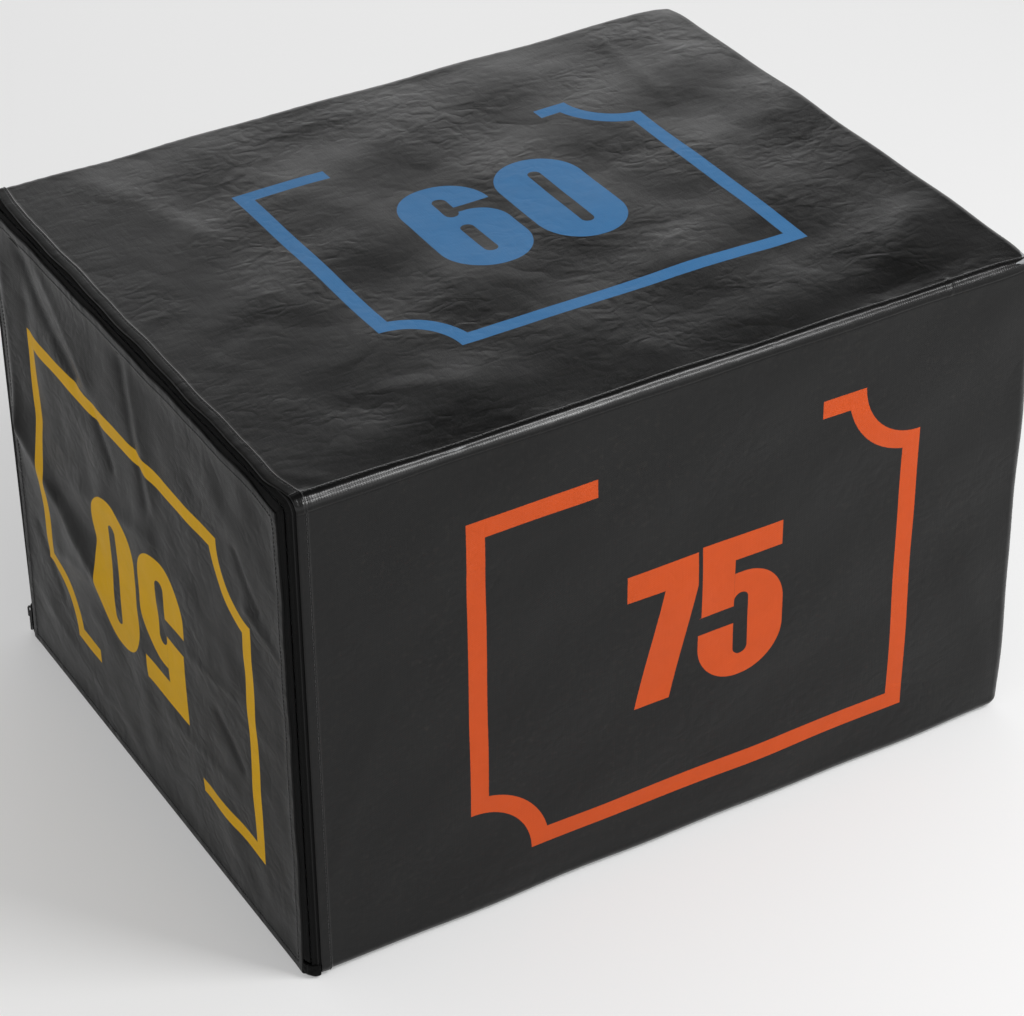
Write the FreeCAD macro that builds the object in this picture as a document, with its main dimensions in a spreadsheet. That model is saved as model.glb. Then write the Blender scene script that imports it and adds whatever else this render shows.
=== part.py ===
import FreeCAD, Part

import os

# Soft plyo box: a laminated foam core in a zipped cover of PVC-coated cloth.
# X runs from the zipped left end to the right end, Y from the front to the back, Z up.
# The origin is the middle of the underside. All sizes are in millimetres.

doc = FreeCAD.newDocument("plyo_box")

# Driving dimensions: name, value, meaning.
SIZES = [
    ("length", 750, "left end to right end"),
    ("depth", 600, "front to back"),
    ("height", 500, "floor to top"),
    ("edge_radius", 12, "outer rounding of every sewn edge"),
    ("vinyl_thickness", 0.9, "coated cloth of the cover"),
    ("tape_thickness", 0.8, "woven tape of the zip"),
    ("tape_underlap", 10, "tape that is sewn under each hem"),
    ("chain_gap", 1.2, "space between the two halves of the chain"),
    ("coil_width", 3, "one half of the chain, across the zip"),
    ("coil_thickness", 2, "chain, square to the tape"),
    ("sewn_gap", 0.1, "room for the thread between coil and tape"),
    ("end_tab_height", 14, "folded tab that closes each end of the zip"),
    ("flap_tape_start", 4, "flap tape, above the front end tab"),
    ("slider_bay", 4, "flap tape, above the parked slider"),
    ("hinge_gap", 0.3, "flap to base along the sewn hinge"),
    ("core_gap", 0.5, "slack between the tape and the core"),
    ("slab_count", 10, "layers of foam board in the core"),
    ("running_gap", 0.3, "slider to chain, tape and stop"),
    ("slider_length", 20, "slider along the chain"),
    ("slider_flange", 1, "side walls that hold the chain"),
    ("slider_plate", 1.2, "each plate of the slider"),
    ("slider_tail_width", 7.6, "outer plate at its narrow end"),
    ("slider_corner", 1.6, "rounded corners of the outer plate"),
    ("post_length", 6, "web between the plates, at the opening end"),
    ("bridge_width", 2, "bridge that carries the pull tab"),
    ("bridge_length", 12, "bridge along the slider"),
    ("bridge_opening", 3, "room under the bridge"),
    ("bridge_wall", 1.4, "metal over and beside the opening"),
    ("tab_length", 22, "pull tab from its pivot to its tip"),
    ("tab_width", 6.5, "pull tab at its tip"),
    ("tab_thickness", 1.6, "pull tab and its bar"),
    ("tab_arm", 1.2, "each arm of the pull tab beside the bridge"),
    ("tab_side_gap", 0.5, "pull tab to the bridge"),
    ("tab_eye_room", 1, "eye of the pull tab past the end of the bridge"),
    ("tab_corner", 2, "rounded tip of the pull tab"),
    ("grip_hole_radius", 1.2, "hole near the tip of the pull tab"),
]

sheet = doc.addObject("Spreadsheet::Sheet", "sizes")
for row, (alias, value, meaning) in enumerate(SIZES, start=1):
    sheet.set("A%d" % row, alias)
    sheet.set("B%d" % row, str(value))
    sheet.set("C%d" % row, meaning)
    sheet.setAlias("B%d" % row, alias)
doc.recompute()

# Depths below the outer planes of the box, and radii about the axis of a rounded edge.
TAPE_DEPTH = "(sizes.vinyl_thickness + sizes.tape_thickness)"
COIL_OUTER_DEPTH = f"({TAPE_DEPTH} + sizes.sewn_gap)"
COIL_INNER_DEPTH = f"({COIL_OUTER_DEPTH} + sizes.coil_thickness)"
CORE_INSET = f"({TAPE_DEPTH} + sizes.core_gap)"
TAPE_OUTER_RADIUS = "(sizes.edge_radius - sizes.vinyl_thickness)"
TAPE_INNER_RADIUS = f"(sizes.edge_radius - {TAPE_DEPTH})"
COIL_INNER_RADIUS = f"(sizes.edge_radius - {COIL_INNER_DEPTH})"

# The chain lies on the mitre between two planes, so its offsets are measured along one of them.
ROOT_TWO = "sqrt(2)"
HALF_CHAIN = "(sizes.chain_gap / 2 + sizes.coil_width)"
CHAIN_EDGE = f"(sizes.chain_gap / 2 * {ROOT_TWO})"
COIL_EDGE = f"({HALF_CHAIN} * {ROOT_TWO})"

# Where the slider sits, outward from the axis of the rear left edge.
HALF_SLIDER = f"({HALF_CHAIN} + sizes.running_gap + sizes.slider_flange)"
INNER_PLATE_TOP = f"(sqrt({COIL_INNER_RADIUS}^2 - {HALF_CHAIN}^2) - sizes.running_gap)"
INNER_PLATE_LOW = f"({INNER_PLATE_TOP} - sizes.slider_plate)"
FLANGE_TOP = f"(sqrt({TAPE_INNER_RADIUS}^2 - {HALF_SLIDER}^2) - sizes.running_gap)"
OUTER_PLATE_LOW = f"({TAPE_OUTER_RADIUS} + sizes.running_gap)"
OUTER_PLATE_TOP = f"({OUTER_PLATE_LOW} + sizes.slider_plate)"
PIVOT_HEIGHT = f"({OUTER_PLATE_TOP} + sizes.bridge_opening / 2)"
SLIDER_BOTTOM = "(sizes.end_tab_height + sizes.running_gap)"
SLIDER_TOP = f"({SLIDER_BOTTOM} + sizes.slider_length)"

# The core is bevelled beside the zip, far enough for the slider and for the chain where it turns.
SLIDER_BEVEL = f"(2 * sizes.edge_radius - ({INNER_PLATE_LOW} - sizes.running_gap) * {ROOT_TWO})"
TURN_REACH = f"((2 * sqrt(3 * {COIL_INNER_RADIUS}^2 - 2 * {COIL_EDGE}^2) - {COIL_EDGE}) / 3)"
TURN_BEVEL = f"(2 * sizes.edge_radius - {TURN_REACH} + sizes.running_gap * {ROOT_TWO})"
BEVEL_LEG = f"max({SLIDER_BEVEL}; {TURN_BEVEL})"

X_AXIS = FreeCAD.Vector(1, 0, 0)
Z_AXIS = FreeCAD.Vector(0, 0, 1)


def bind(thing, **expressions):
    """Tie properties of a document object to expressions of the sheet."""
    for name, expression in expressions.items():
        thing.setExpression(name.replace("__", "."), expression)
    return thing


def boolean(kind, name, base, tool):
    """A Part boolean of two document objects."""
    result = doc.addObject("Part::" + kind, name)
    result.Base = base
    result.Tool = tool
    return result


def block(name, low, high):
    """A box between two corners given as expressions."""
    box = doc.addObject("Part::Box", name)
    for side, axis, start, end in zip(("Length", "Width", "Height"), "xyz", low, high):
        box.setExpression(side, f"({end}) - ({start})")
        box.setExpression("Placement.Base." + axis, start)
    return box


def rounded_block(name, inset, floor=None):
    """The whole box drawn in by an inset, with concentric roundings; the floor may have its own."""
    floor = floor or inset
    body = doc.addObject("PartDesign::Body", name)
    box = body.newObject("PartDesign::AdditiveBox", name + "_box")
    bind(
        box,
        Length=f"sizes.length - 2 * {inset}",
        Width=f"sizes.depth - 2 * {inset}",
        Height=f"sizes.height - {inset} - {floor}",
        Placement__Base__x=f"{inset} - sizes.length / 2",
        Placement__Base__y=f"{inset} - sizes.depth / 2",
        Placement__Base__z=floor,
    )
    doc.recompute()
    rounding = body.newObject("PartDesign::Fillet", name + "_rounding")
    rounding.Base = (box, [])
    rounding.UseAllEdges = True
    bind(rounding, Radius=f"sizes.edge_radius - {inset}")
    return body


def prism(name, turn, base, outer, inner, reach):
    """A wedge that starts on a face of the box and goes in by a reach.

    outer and inner are the section's (low x, high x, low z, high z) on the face and at the reach, in the
    wedge's own axes, whose Y points into the box.
    """
    wedge = doc.addObject("Part::Wedge", name)
    wedge.Placement = FreeCAD.Placement(FreeCAD.Vector(), turn)
    wedge.Ymin = 0
    bind(wedge, Ymax=reach)
    for prop, expression in zip(("Xmin", "Xmax", "Zmin", "Zmax"), outer):
        wedge.setExpression(prop, expression)
    for prop, expression in zip(("X2min", "X2max", "Z2min", "Z2max"), inner):
        wedge.setExpression(prop, expression)
    for axis, expression in zip("xyz", base):
        wedge.setExpression("Placement.Base." + axis, expression)
    return wedge


# Shells of the cover: cloth outside, then zip tape, then coil.
cover_outside = rounded_block("cover_outside", "0")
cover_inside = rounded_block("cover_inside", "sizes.vinyl_thickness")
tape_inside = rounded_block("tape_inside", TAPE_DEPTH)
coil_outside = rounded_block("coil_outside", COIL_OUTER_DEPTH)
coil_inside = rounded_block("coil_inside", COIL_INNER_DEPTH)
cloth_shell = boolean("Cut", "cloth_shell", cover_outside, cover_inside)
tape_shell = boolean("Cut", "tape_shell", cover_inside, tape_inside)
coil_shell = boolean("Cut", "coil_shell", coil_outside, coil_inside)

# Cover panels. Sewn edges meet on the mitre; beside the zip a panel stops where its flat ends.
REACH = "(2 * sizes.edge_radius)"
HALF_LENGTH = "(sizes.length / 2)"
HALF_DEPTH = "(sizes.depth / 2)"
HEM_X = f"(sizes.edge_radius - {HALF_LENGTH})"

wide_outer = (HEM_X, HALF_LENGTH, f"-{HALF_DEPTH}", HALF_DEPTH)
wide_inner = (HEM_X, f"{HALF_LENGTH} - {REACH}", f"{REACH} - {HALF_DEPTH}", f"{HALF_DEPTH} - {REACH}")
tall_outer = (HEM_X, HALF_LENGTH, "0", "sizes.height")
tall_inner = (HEM_X, f"{HALF_LENGTH} - {REACH}", REACH, f"sizes.height - {REACH}")
end_outer = (f"-{HALF_DEPTH}", HALF_DEPTH, "0", "sizes.height")
end_inner = (f"{REACH} - {HALF_DEPTH}", f"{HALF_DEPTH} - {REACH}", REACH, f"sizes.height - {REACH}")

top_wedge = prism(
    "top_wedge", FreeCAD.Rotation(X_AXIS, -90), ("0", "0", "sizes.height"),
    wide_outer, wide_inner, REACH,
)
base_wedge = prism(
    "base_wedge", FreeCAD.Rotation(X_AXIS, 90), ("0", "0", "0"),
    wide_outer, wide_inner, REACH,
)
front_wedge = prism(
    "front_wedge", FreeCAD.Rotation(), ("0", f"-{HALF_DEPTH}", "0"),
    tall_outer, tall_inner, REACH,
)
back_wedge = prism(
    "back_wedge", FreeCAD.Rotation(X_AXIS, 180), ("0", HALF_DEPTH, "sizes.height"),
    tall_outer, tall_inner, REACH,
)
right_wedge = prism(
    "right_wedge", FreeCAD.Rotation(Z_AXIS, 90), (HALF_LENGTH, "0", "0"),
    end_outer, end_inner, REACH,
)

top_panel = boolean("Common", "top_panel", cloth_shell, top_wedge)
front_panel = boolean("Common", "front_panel", cloth_shell, front_wedge)
back_panel = boolean("Common", "back_panel", cloth_shell, back_wedge)
right_end_panel = boolean("Common", "right_end_panel", cloth_shell, right_wedge)

# The base runs on, flat, to the sewn hinge of the flap.
base_sheet = boolean("Common", "base_sheet", cloth_shell, base_wedge)
hinge_strip = block(
    "hinge_strip",
    (f"sizes.vinyl_thickness + sizes.hinge_gap - {HALF_LENGTH}", f"sizes.edge_radius - {HALF_DEPTH}", "0"),
    (HEM_X, f"{HALF_DEPTH} - sizes.edge_radius", "sizes.vinyl_thickness"),
)
base_panel = boolean("Fuse", "base_panel", base_sheet, hinge_strip)
base_panel.Refine = True

# The left end panel is the flap: flat, hung on its bottom edge, inside the band of the zip.
zip_flap_panel = block(
    "zip_flap_panel",
    (f"-{HALF_LENGTH}", f"sizes.edge_radius - {HALF_DEPTH} + sizes.hinge_gap", "sizes.hinge_gap"),
    (
        f"sizes.vinyl_thickness - {HALF_LENGTH}",
        f"{HALF_DEPTH} - sizes.edge_radius - sizes.hinge_gap",
        "sizes.height - sizes.edge_radius",
    ),
)


# The zip is a U on the rounded edges of the left end. Each part of it is one side of a mitred wedge.
def zip_wedge(name, offset, low):
    """The space on the flap's side of the zip's middle, drawn in along the end face by an offset."""
    outer = (f"{offset} - {HALF_DEPTH}", f"{HALF_DEPTH} - {offset}", low, f"sizes.height - {offset}")
    inner = (
        f"{offset} + {REACH} - {HALF_DEPTH}",
        f"{HALF_DEPTH} - {offset} - {REACH}",
        low,
        f"sizes.height - {offset} - {REACH}",
    )
    return prism(name, FreeCAD.Rotation(Z_AXIS, -90), (f"-{HALF_LENGTH}", "0", "0"), outer, inner, REACH)


SHELL_LOW = "sizes.end_tab_height"
FLAP_LOW = "(sizes.end_tab_height + sizes.flap_tape_start)"
SLEEVE = f"(sizes.edge_radius + sizes.tape_underlap - {HALF_LENGTH})"
UNDER_FLAP = "(sizes.edge_radius + sizes.tape_underlap)"

zip_space = block(
    "zip_space",
    (f"-{HALF_LENGTH}", f"-{HALF_DEPTH}", SHELL_LOW),
    (SLEEVE, HALF_DEPTH, "sizes.height"),
)
flap_middle = block(
    "flap_middle",
    (f"-{HALF_LENGTH} - {REACH}", f"{UNDER_FLAP} - {HALF_DEPTH}", "0"),
    (SLEEVE, f"{HALF_DEPTH} - {UNDER_FLAP}", f"sizes.height - {UNDER_FLAP}"),
)
parked_slider_bay = block(
    "parked_slider_bay",
    (f"-{HALF_LENGTH} - {REACH}", f"{HALF_DEPTH} - {UNDER_FLAP} - {REACH}", "0"),
    (SLEEVE, HALF_DEPTH, f"{SLIDER_TOP} + sizes.slider_bay"),
)

# Woven tapes.
shell_inner_wedge = zip_wedge("shell_inner_wedge", f"-{CHAIN_EDGE}", "0")
shell_tape_space = boolean("Cut", "shell_tape_space", zip_space, shell_inner_wedge)
shell_zip_tape = boolean("Common", "shell_zip_tape", tape_shell, shell_tape_space)

flap_outer_wedge = zip_wedge("flap_outer_wedge", CHAIN_EDGE, FLAP_LOW)
flap_tape_space = boolean("Cut", "flap_tape_space", flap_outer_wedge, flap_middle)
flap_tape_bayed = boolean("Cut", "flap_tape_bayed", flap_tape_space, parked_slider_bay)
flap_zip_tape = boolean("Common", "flap_zip_tape", tape_shell, flap_tape_bayed)

# Coils, behind the tapes.
shell_coil_wedge = zip_wedge("shell_coil_wedge", f"-{COIL_EDGE}", SHELL_LOW)
shell_coil_space = boolean("Cut", "shell_coil_space", shell_coil_wedge, shell_inner_wedge)
shell_zip_coil = boolean("Common", "shell_zip_coil", coil_shell, shell_coil_space)

flap_coil_wedge = zip_wedge("flap_coil_wedge", COIL_EDGE, "0")
flap_coil_space = boolean("Cut", "flap_coil_space", flap_outer_wedge, flap_coil_wedge)
flap_coil_bayed = boolean("Cut", "flap_coil_bayed", flap_coil_space, parked_slider_bay)
flap_zip_coil = boolean("Common", "flap_zip_coil", coil_shell, flap_coil_bayed)


# Folded tabs over the two bottom ends of the zip.
def end_tab(name, low_y, high_y):
    """The cloth of one bottom corner, below the end of the zip."""
    corner = block(
        name + "_corner", (f"-{HALF_LENGTH}", low_y, "0"), (HEM_X, high_y, "sizes.end_tab_height")
    )
    return boolean("Common", name, cloth_shell, corner)


zip_end_tab_front = end_tab("zip_end_tab_front", f"-{HALF_DEPTH}", f"sizes.edge_radius - {HALF_DEPTH}")
zip_end_tab_rear = end_tab("zip_end_tab_rear", f"{HALF_DEPTH} - sizes.edge_radius", HALF_DEPTH)

# Foam core: a rounded block with bevelled edges beside the zip, cut into equal boards.
core_block = rounded_block("core_block", CORE_INSET, floor="sizes.vinyl_thickness")
bevel_wedge = prism(
    "bevel_wedge",
    FreeCAD.Rotation(Z_AXIS, -90),
    (f"-{HALF_LENGTH}", "0", "0"),
    (f"{BEVEL_LEG} - {HALF_DEPTH}", f"{HALF_DEPTH} - {BEVEL_LEG}", "0", f"sizes.height - {BEVEL_LEG}"),
    (f"-{HALF_DEPTH}", HALF_DEPTH, "0", "sizes.height"),
    BEVEL_LEG,
)
bevel_rest = block(
    "bevel_rest",
    (f"{BEVEL_LEG} - {HALF_LENGTH}", f"-{HALF_DEPTH}", "0"),
    (HALF_LENGTH, HALF_DEPTH, "sizes.height"),
)
bevel_space = boolean("Fuse", "bevel_space", bevel_wedge, bevel_rest)
core = boolean("Common", "core", core_block, bevel_space)

SLAB_THICKNESS = f"((sizes.height - {CORE_INSET} - sizes.vinyl_thickness) / sizes.slab_count)"


def foam_slab(index):
    """One board of the core, counted from the floor."""
    layer = block(
        "foam_layer_%02d" % index,
        (f"-{HALF_LENGTH}", f"-{HALF_DEPTH}", f"sizes.vinyl_thickness + {index - 1} * {SLAB_THICKNESS}"),
        (HALF_LENGTH, HALF_DEPTH, f"sizes.vinyl_thickness + {index} * {SLAB_THICKNESS}"),
    )
    return boolean("Common", "foam_slab_%02d" % index, core, layer)


foam_slabs = [foam_slab(index) for index in range(1, int(sheet.slab_count) + 1)]

# Slider and pull tab share a frame on the axis of the rear left edge: X across the zip, Y up the chain,
# Z outward through the zip.
OUTWARD = FreeCAD.Vector(-1, 1, 0).normalize()
SLIDER_FRAME = FreeCAD.Rotation(Z_AXIS.cross(OUTWARD), Z_AXIS, OUTWARD, "ZYX")


def zip_body(name):
    """An empty body in that frame, at the parked slider's lower end."""
    body = doc.addObject("PartDesign::Body", name)
    body.Placement = FreeCAD.Placement(FreeCAD.Vector(), SLIDER_FRAME)
    bind(
        body,
        Placement__Base__x=HEM_X,
        Placement__Base__y=f"{HALF_DEPTH} - sizes.edge_radius",
        Placement__Base__z=SLIDER_BOTTOM,
    )
    return body


def feature_box(body, name, kind, low, high):
    """An additive or subtractive box of a body, between two corners given as expressions."""
    box = body.newObject("PartDesign::%sBox" % kind, name)
    for side, axis, start, end in zip(("Length", "Width", "Height"), "xyz", low, high):
        box.setExpression(side, f"({end}) - ({start})")
        box.setExpression("Placement.Base." + axis, start)
    doc.recompute()
    return box


def feature_plate(body, name, along, half_widths, through):
    """A flat plate that tapers along Y, from one half width to another."""
    plate = body.newObject("PartDesign::AdditiveWedge", name)
    (near, far), (low, high) = half_widths, through
    bind(plate, Ymin=along[0], Ymax=along[1], Zmin=low, Zmax=high, Z2min=low, Z2max=high)
    bind(plate, Xmin=f"-{near}", Xmax=near, X2min=f"-{far}", X2max=far)
    doc.recompute()
    return plate


# Sine of the largest angle at which two directions count as parallel.
PARALLEL = 1e-6


def round_edges(body, name, direction, low, high, radius):
    """Round the edges of a body that run along a direction and lie within a box of the body's frame."""
    base = body.Tip
    inside = FreeCAD.BoundBox(*low, *high)
    chosen = []
    for number, edge in enumerate(base.Shape.Edges, start=1):
        first, last = edge.Vertexes[0].Point, edge.Vertexes[-1].Point
        along = (last - first).cross(direction).Length < PARALLEL * (last - first).Length
        if along and inside.isInside(first) and inside.isInside(last):
            chosen.append("Edge%d" % number)
    rounding = body.newObject("PartDesign::Fillet", name)
    rounding.Base = (base, chosen)
    bind(rounding, Radius=radius)
    doc.recompute()
    return rounding


def value(expression):
    """The number that an expression of the sheet stands for."""
    return float(sheet.evalExpression(expression.replace("sizes.", "")))


# Limits for picking edges: beyond every part of the slider, and just off one of its faces.
FAR = value("sizes.length")
NEAR = value("sizes.sewn_gap")

# Slider: a channel behind the chain, an outer plate over it, and a thin post between the two halves.
zip_slider = zip_body("zip_slider")
CHANNEL_SIDE = f"({HALF_CHAIN} + sizes.running_gap)"
HALF_POST = "(sizes.chain_gap / 2 - sizes.running_gap)"
MID_SLIDER = "(sizes.slider_length / 2)"
BRIDGE_TOP = f"({OUTER_PLATE_TOP} + sizes.bridge_opening + sizes.bridge_wall)"
BRIDGE_LOW_END = f"({MID_SLIDER} - sizes.bridge_length / 2)"
BRIDGE_HIGH_END = f"({MID_SLIDER} + sizes.bridge_length / 2)"
feature_box(
    zip_slider, "slider_channel_block", "Additive",
    (f"-{HALF_SLIDER}", "0", INNER_PLATE_LOW), (HALF_SLIDER, "sizes.slider_length", FLANGE_TOP),
)
feature_box(
    zip_slider, "slider_channel", "Subtractive",
    (f"-{CHANNEL_SIDE}", "0", INNER_PLATE_TOP), (CHANNEL_SIDE, "sizes.slider_length", FLANGE_TOP),
)
feature_box(
    zip_slider, "slider_post", "Additive",
    (f"-{HALF_POST}", "0", INNER_PLATE_TOP), (HALF_POST, "sizes.post_length", OUTER_PLATE_LOW),
)
feature_plate(
    zip_slider, "slider_outer_plate", ("0", "sizes.slider_length"),
    (HALF_SLIDER, "(sizes.slider_tail_width / 2)"), (OUTER_PLATE_LOW, OUTER_PLATE_TOP),
)
round_edges(
    zip_slider, "slider_plate_corners", Z_AXIS,
    (-FAR, -FAR, value(OUTER_PLATE_LOW) - NEAR), (FAR, FAR, value(OUTER_PLATE_TOP) + NEAR),
    "sizes.slider_corner",
)
feature_box(
    zip_slider, "slider_bridge", "Additive",
    ("-sizes.bridge_width / 2", BRIDGE_LOW_END, OUTER_PLATE_TOP),
    ("sizes.bridge_width / 2", BRIDGE_HIGH_END, BRIDGE_TOP),
)
feature_box(
    zip_slider, "slider_bridge_opening", "Subtractive",
    ("-sizes.bridge_width / 2", f"{BRIDGE_LOW_END} + sizes.bridge_wall", OUTER_PLATE_TOP),
    (
        "sizes.bridge_width / 2",
        f"{BRIDGE_HIGH_END} - sizes.bridge_wall",
        f"{BRIDGE_TOP} - sizes.bridge_wall",
    ),
)
round_edges(
    zip_slider, "slider_bridge_shoulders", X_AXIS,
    (-FAR, -FAR, value(BRIDGE_TOP) - NEAR), (FAR, FAR, value(BRIDGE_TOP) + NEAR),
    "sizes.bridge_wall",
)

# Pull tab: a tapered strap whose bar lies under the bridge, hanging down the zip.
zip_pull_tab = zip_body("zip_pull_tab")
TAB_TIP = f"({MID_SLIDER} - sizes.tab_length)"
TAB_HEAD = f"({MID_SLIDER} + sizes.tab_thickness / 2)"
TAB_LOW = f"({PIVOT_HEIGHT} - sizes.tab_thickness / 2)"
TAB_HIGH = f"({PIVOT_HEIGHT} + sizes.tab_thickness / 2)"
HALF_EYE = "(sizes.bridge_width / 2 + sizes.tab_side_gap)"
feature_plate(
    zip_pull_tab, "tab_strap", (TAB_TIP, TAB_HEAD),
    ("(sizes.tab_width / 2)", f"({HALF_EYE} + sizes.tab_arm)"), (TAB_LOW, TAB_HIGH),
)
feature_box(
    zip_pull_tab, "tab_eye", "Subtractive",
    (f"-{HALF_EYE}", f"{BRIDGE_LOW_END} - sizes.tab_eye_room", TAB_LOW),
    (HALF_EYE, f"{MID_SLIDER} - sizes.tab_thickness / 2", TAB_HIGH),
)
grip_hole = zip_pull_tab.newObject("PartDesign::SubtractiveCylinder", "tab_grip_hole")
bind(
    grip_hole,
    Radius="sizes.grip_hole_radius",
    Height="sizes.tab_thickness",
    Placement__Base__y=f"{TAB_TIP} + sizes.tab_corner + sizes.grip_hole_radius",
    Placement__Base__z=TAB_LOW,
)
doc.recompute()
round_edges(
    zip_pull_tab, "tab_tip_corners", Z_AXIS,
    (-FAR, value(TAB_TIP) - NEAR, -FAR), (FAR, value(TAB_TIP) + NEAR, FAR),
    "sizes.tab_corner",
)

# Every sub-part's file takes its label.
NODES = [
    top_panel, front_panel, back_panel, base_panel, right_end_panel,
    zip_end_tab_front, zip_end_tab_rear, shell_zip_tape, shell_zip_coil,
    *foam_slabs,
    zip_flap_panel, flap_zip_tape, flap_zip_coil,
    zip_slider, zip_pull_tab,
]
doc.recompute()
for item in doc.Objects:
    if {"Invalid", "Error"} & set(item.State):
        raise RuntimeError("%s failed: %s" % (item.Name, item.State))
for node in NODES:
    node.Label = node.Name
    if node.Shape.isNull() or not node.Shape.isValid() or len(node.Shape.Solids) != 1:
        raise RuntimeError("%s is not one valid solid" % node.Label)

CUBIC_CENTIMETRE = 1000
os.makedirs("parts", exist_ok=True)
for node in NODES:
    node.Shape.exportStep("parts/%s.step" % node.Label)
    box = node.Shape.BoundBox
    extents = (box.XMin, box.XMax, box.YMin, box.YMax, box.ZMin, box.ZMax)
    print(f"{node.Label:20} {node.Shape.Volume / CUBIC_CENTIMETRE:9.1f} cm3", end="")
    print("  x %.1f..%.1f  y %.1f..%.1f  z %.1f..%.1f" % extents)
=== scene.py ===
# %% [markdown]
# # A soft plyo box
# A soft plyo box is a block of glued foam boards in a cover of black PVC-coated cloth. One end of the
# cover is a flap closed by a zip, which is how the foam gets in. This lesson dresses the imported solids:
# the cloth is cut, creased and sewn, the zip is woven, and the prints are drawn by shaders. Every place
# and size comes from the frame, so the frame is loaded first and the box of its solids is kept.

# %% Load the frame
import math

import bpy
import numpy as np
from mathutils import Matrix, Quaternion, Vector
from mathutils.geometry import delaunay_2d_cdt


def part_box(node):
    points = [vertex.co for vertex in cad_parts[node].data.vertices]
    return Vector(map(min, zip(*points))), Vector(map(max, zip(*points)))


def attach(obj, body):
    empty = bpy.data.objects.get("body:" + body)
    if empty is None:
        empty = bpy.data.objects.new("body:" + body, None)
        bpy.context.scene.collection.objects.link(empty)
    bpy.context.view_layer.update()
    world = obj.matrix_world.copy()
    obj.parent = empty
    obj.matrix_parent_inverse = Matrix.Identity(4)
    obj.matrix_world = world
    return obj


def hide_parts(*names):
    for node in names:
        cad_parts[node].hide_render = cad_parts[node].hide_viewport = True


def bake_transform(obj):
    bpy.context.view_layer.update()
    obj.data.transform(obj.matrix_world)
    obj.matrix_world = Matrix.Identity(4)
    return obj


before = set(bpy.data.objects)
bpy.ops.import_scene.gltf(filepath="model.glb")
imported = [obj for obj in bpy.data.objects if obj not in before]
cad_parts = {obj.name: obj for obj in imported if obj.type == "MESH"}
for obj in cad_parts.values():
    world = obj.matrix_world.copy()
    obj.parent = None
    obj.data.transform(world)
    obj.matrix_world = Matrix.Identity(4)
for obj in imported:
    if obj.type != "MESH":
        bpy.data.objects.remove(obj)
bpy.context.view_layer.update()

MM = 0.001
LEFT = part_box("zip_flap_panel")[0].x
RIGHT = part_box("right_end_panel")[1].x
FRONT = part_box("front_panel")[0].y
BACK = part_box("back_panel")[1].y
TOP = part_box("top_panel")[1].z
HEM_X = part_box("top_panel")[0].x
ROUND = HEM_X - LEFT
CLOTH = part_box("zip_flap_panel")[1].x - LEFT
FLAP_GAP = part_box("zip_flap_panel")[0].z
print("box %.0f x %.0f x %.0f mm, edges rounded to %.0f mm, cloth %.1f mm thick" % (
    (RIGHT - LEFT) / MM, (BACK - FRONT) / MM, TOP / MM, ROUND / MM, CLOTH / MM))

# %% [markdown]
# ## The camera
# The photograph was taken with a long lens from the front left, well above the box. A camera could be
# set by eye, but the corners of a box are easy to find in a picture, so its place, its aim and its
# focal length were fitted to them. A long lens keeps the far edges nearly parallel to the near ones.

# %% Place the camera
SENSOR = 36.0
IMAGE_WIDTH = 1024
FOCAL_PIXELS = 3285
CAMERA_PLACE = Vector((-1.286, -2.221, 1.954))
CAMERA_AIM = Vector((-0.008, -0.028, 0.209))
CAMERA_ROLL = math.radians(-0.67)

lens = bpy.data.cameras.new("camera")
lens.sensor_width = SENSOR
lens.lens = SENSOR * FOCAL_PIXELS / IMAGE_WIDTH
camera = bpy.data.objects.new("camera", lens)
bpy.context.scene.collection.objects.link(camera)
camera.location = CAMERA_PLACE
level = (CAMERA_AIM - CAMERA_PLACE).to_track_quat("-Z", "Y")
camera.rotation_euler = (level @ Quaternion((0, 0, 1), CAMERA_ROLL)).to_euler()
bpy.context.scene.camera = camera
print("lens %.1f mm, %.2f m from the box" % (lens.lens, (CAMERA_AIM - CAMERA_PLACE).length))

# %% [markdown]
# ## Sides of the box
# The cover is sewn from flat pieces that bend round the edges of the foam. Each side gets flat
# coordinates, s to the right and t up as a maker sees it from outside, and one function lays a flat
# place on the rounded box. Near an edge the cloth turns about the edge's axis, and two pieces meet
# half way round, on the mitre. A bevelled cube would be quicker, but it knows no seams and no flat cloth.


# %% Lay flat cloth on a rounded box
def unit(vectors):
    """The same directions with a length of 1."""
    return vectors / np.linalg.norm(vectors, axis=-1, keepdims=True)


class Side:
    """One side of the box, with s to the right and t up, both measured from its middle."""

    def __init__(self, middle, right, up, rounding):
        self.middle = np.array(middle)
        self.right = np.array(right, float)
        self.up = np.array(up, float)
        self.out = np.cross(self.right, self.up)
        size = np.array([RIGHT - LEFT, BACK - FRONT, TOP])
        self.half = (abs(self.right @ size) / 2, abs(self.up @ size) / 2)
        self.rounding = rounding

    def flat(self, s, t):
        """Points on the plane of the side."""
        return self.middle + s[..., None] * self.right + t[..., None] * self.up

    def wrap(self, s, t):
        """Points on the rounded box and their outward directions."""
        if not self.rounding:
            points = self.flat(s, t)
            return points, np.broadcast_to(self.out, points.shape)
        inner_s = np.clip(s, self.rounding - self.half[0], self.half[0] - self.rounding)
        inner_t = np.clip(t, self.rounding - self.half[1], self.half[1] - self.rounding)
        lean_s = np.tan((s - inner_s) / self.rounding)
        lean_t = np.tan((t - inner_t) / self.rounding)
        out = unit(self.out + lean_s[..., None] * self.right + lean_t[..., None] * self.up)
        return self.flat(inner_s, inner_t) + self.rounding * (out - self.out), out


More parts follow.
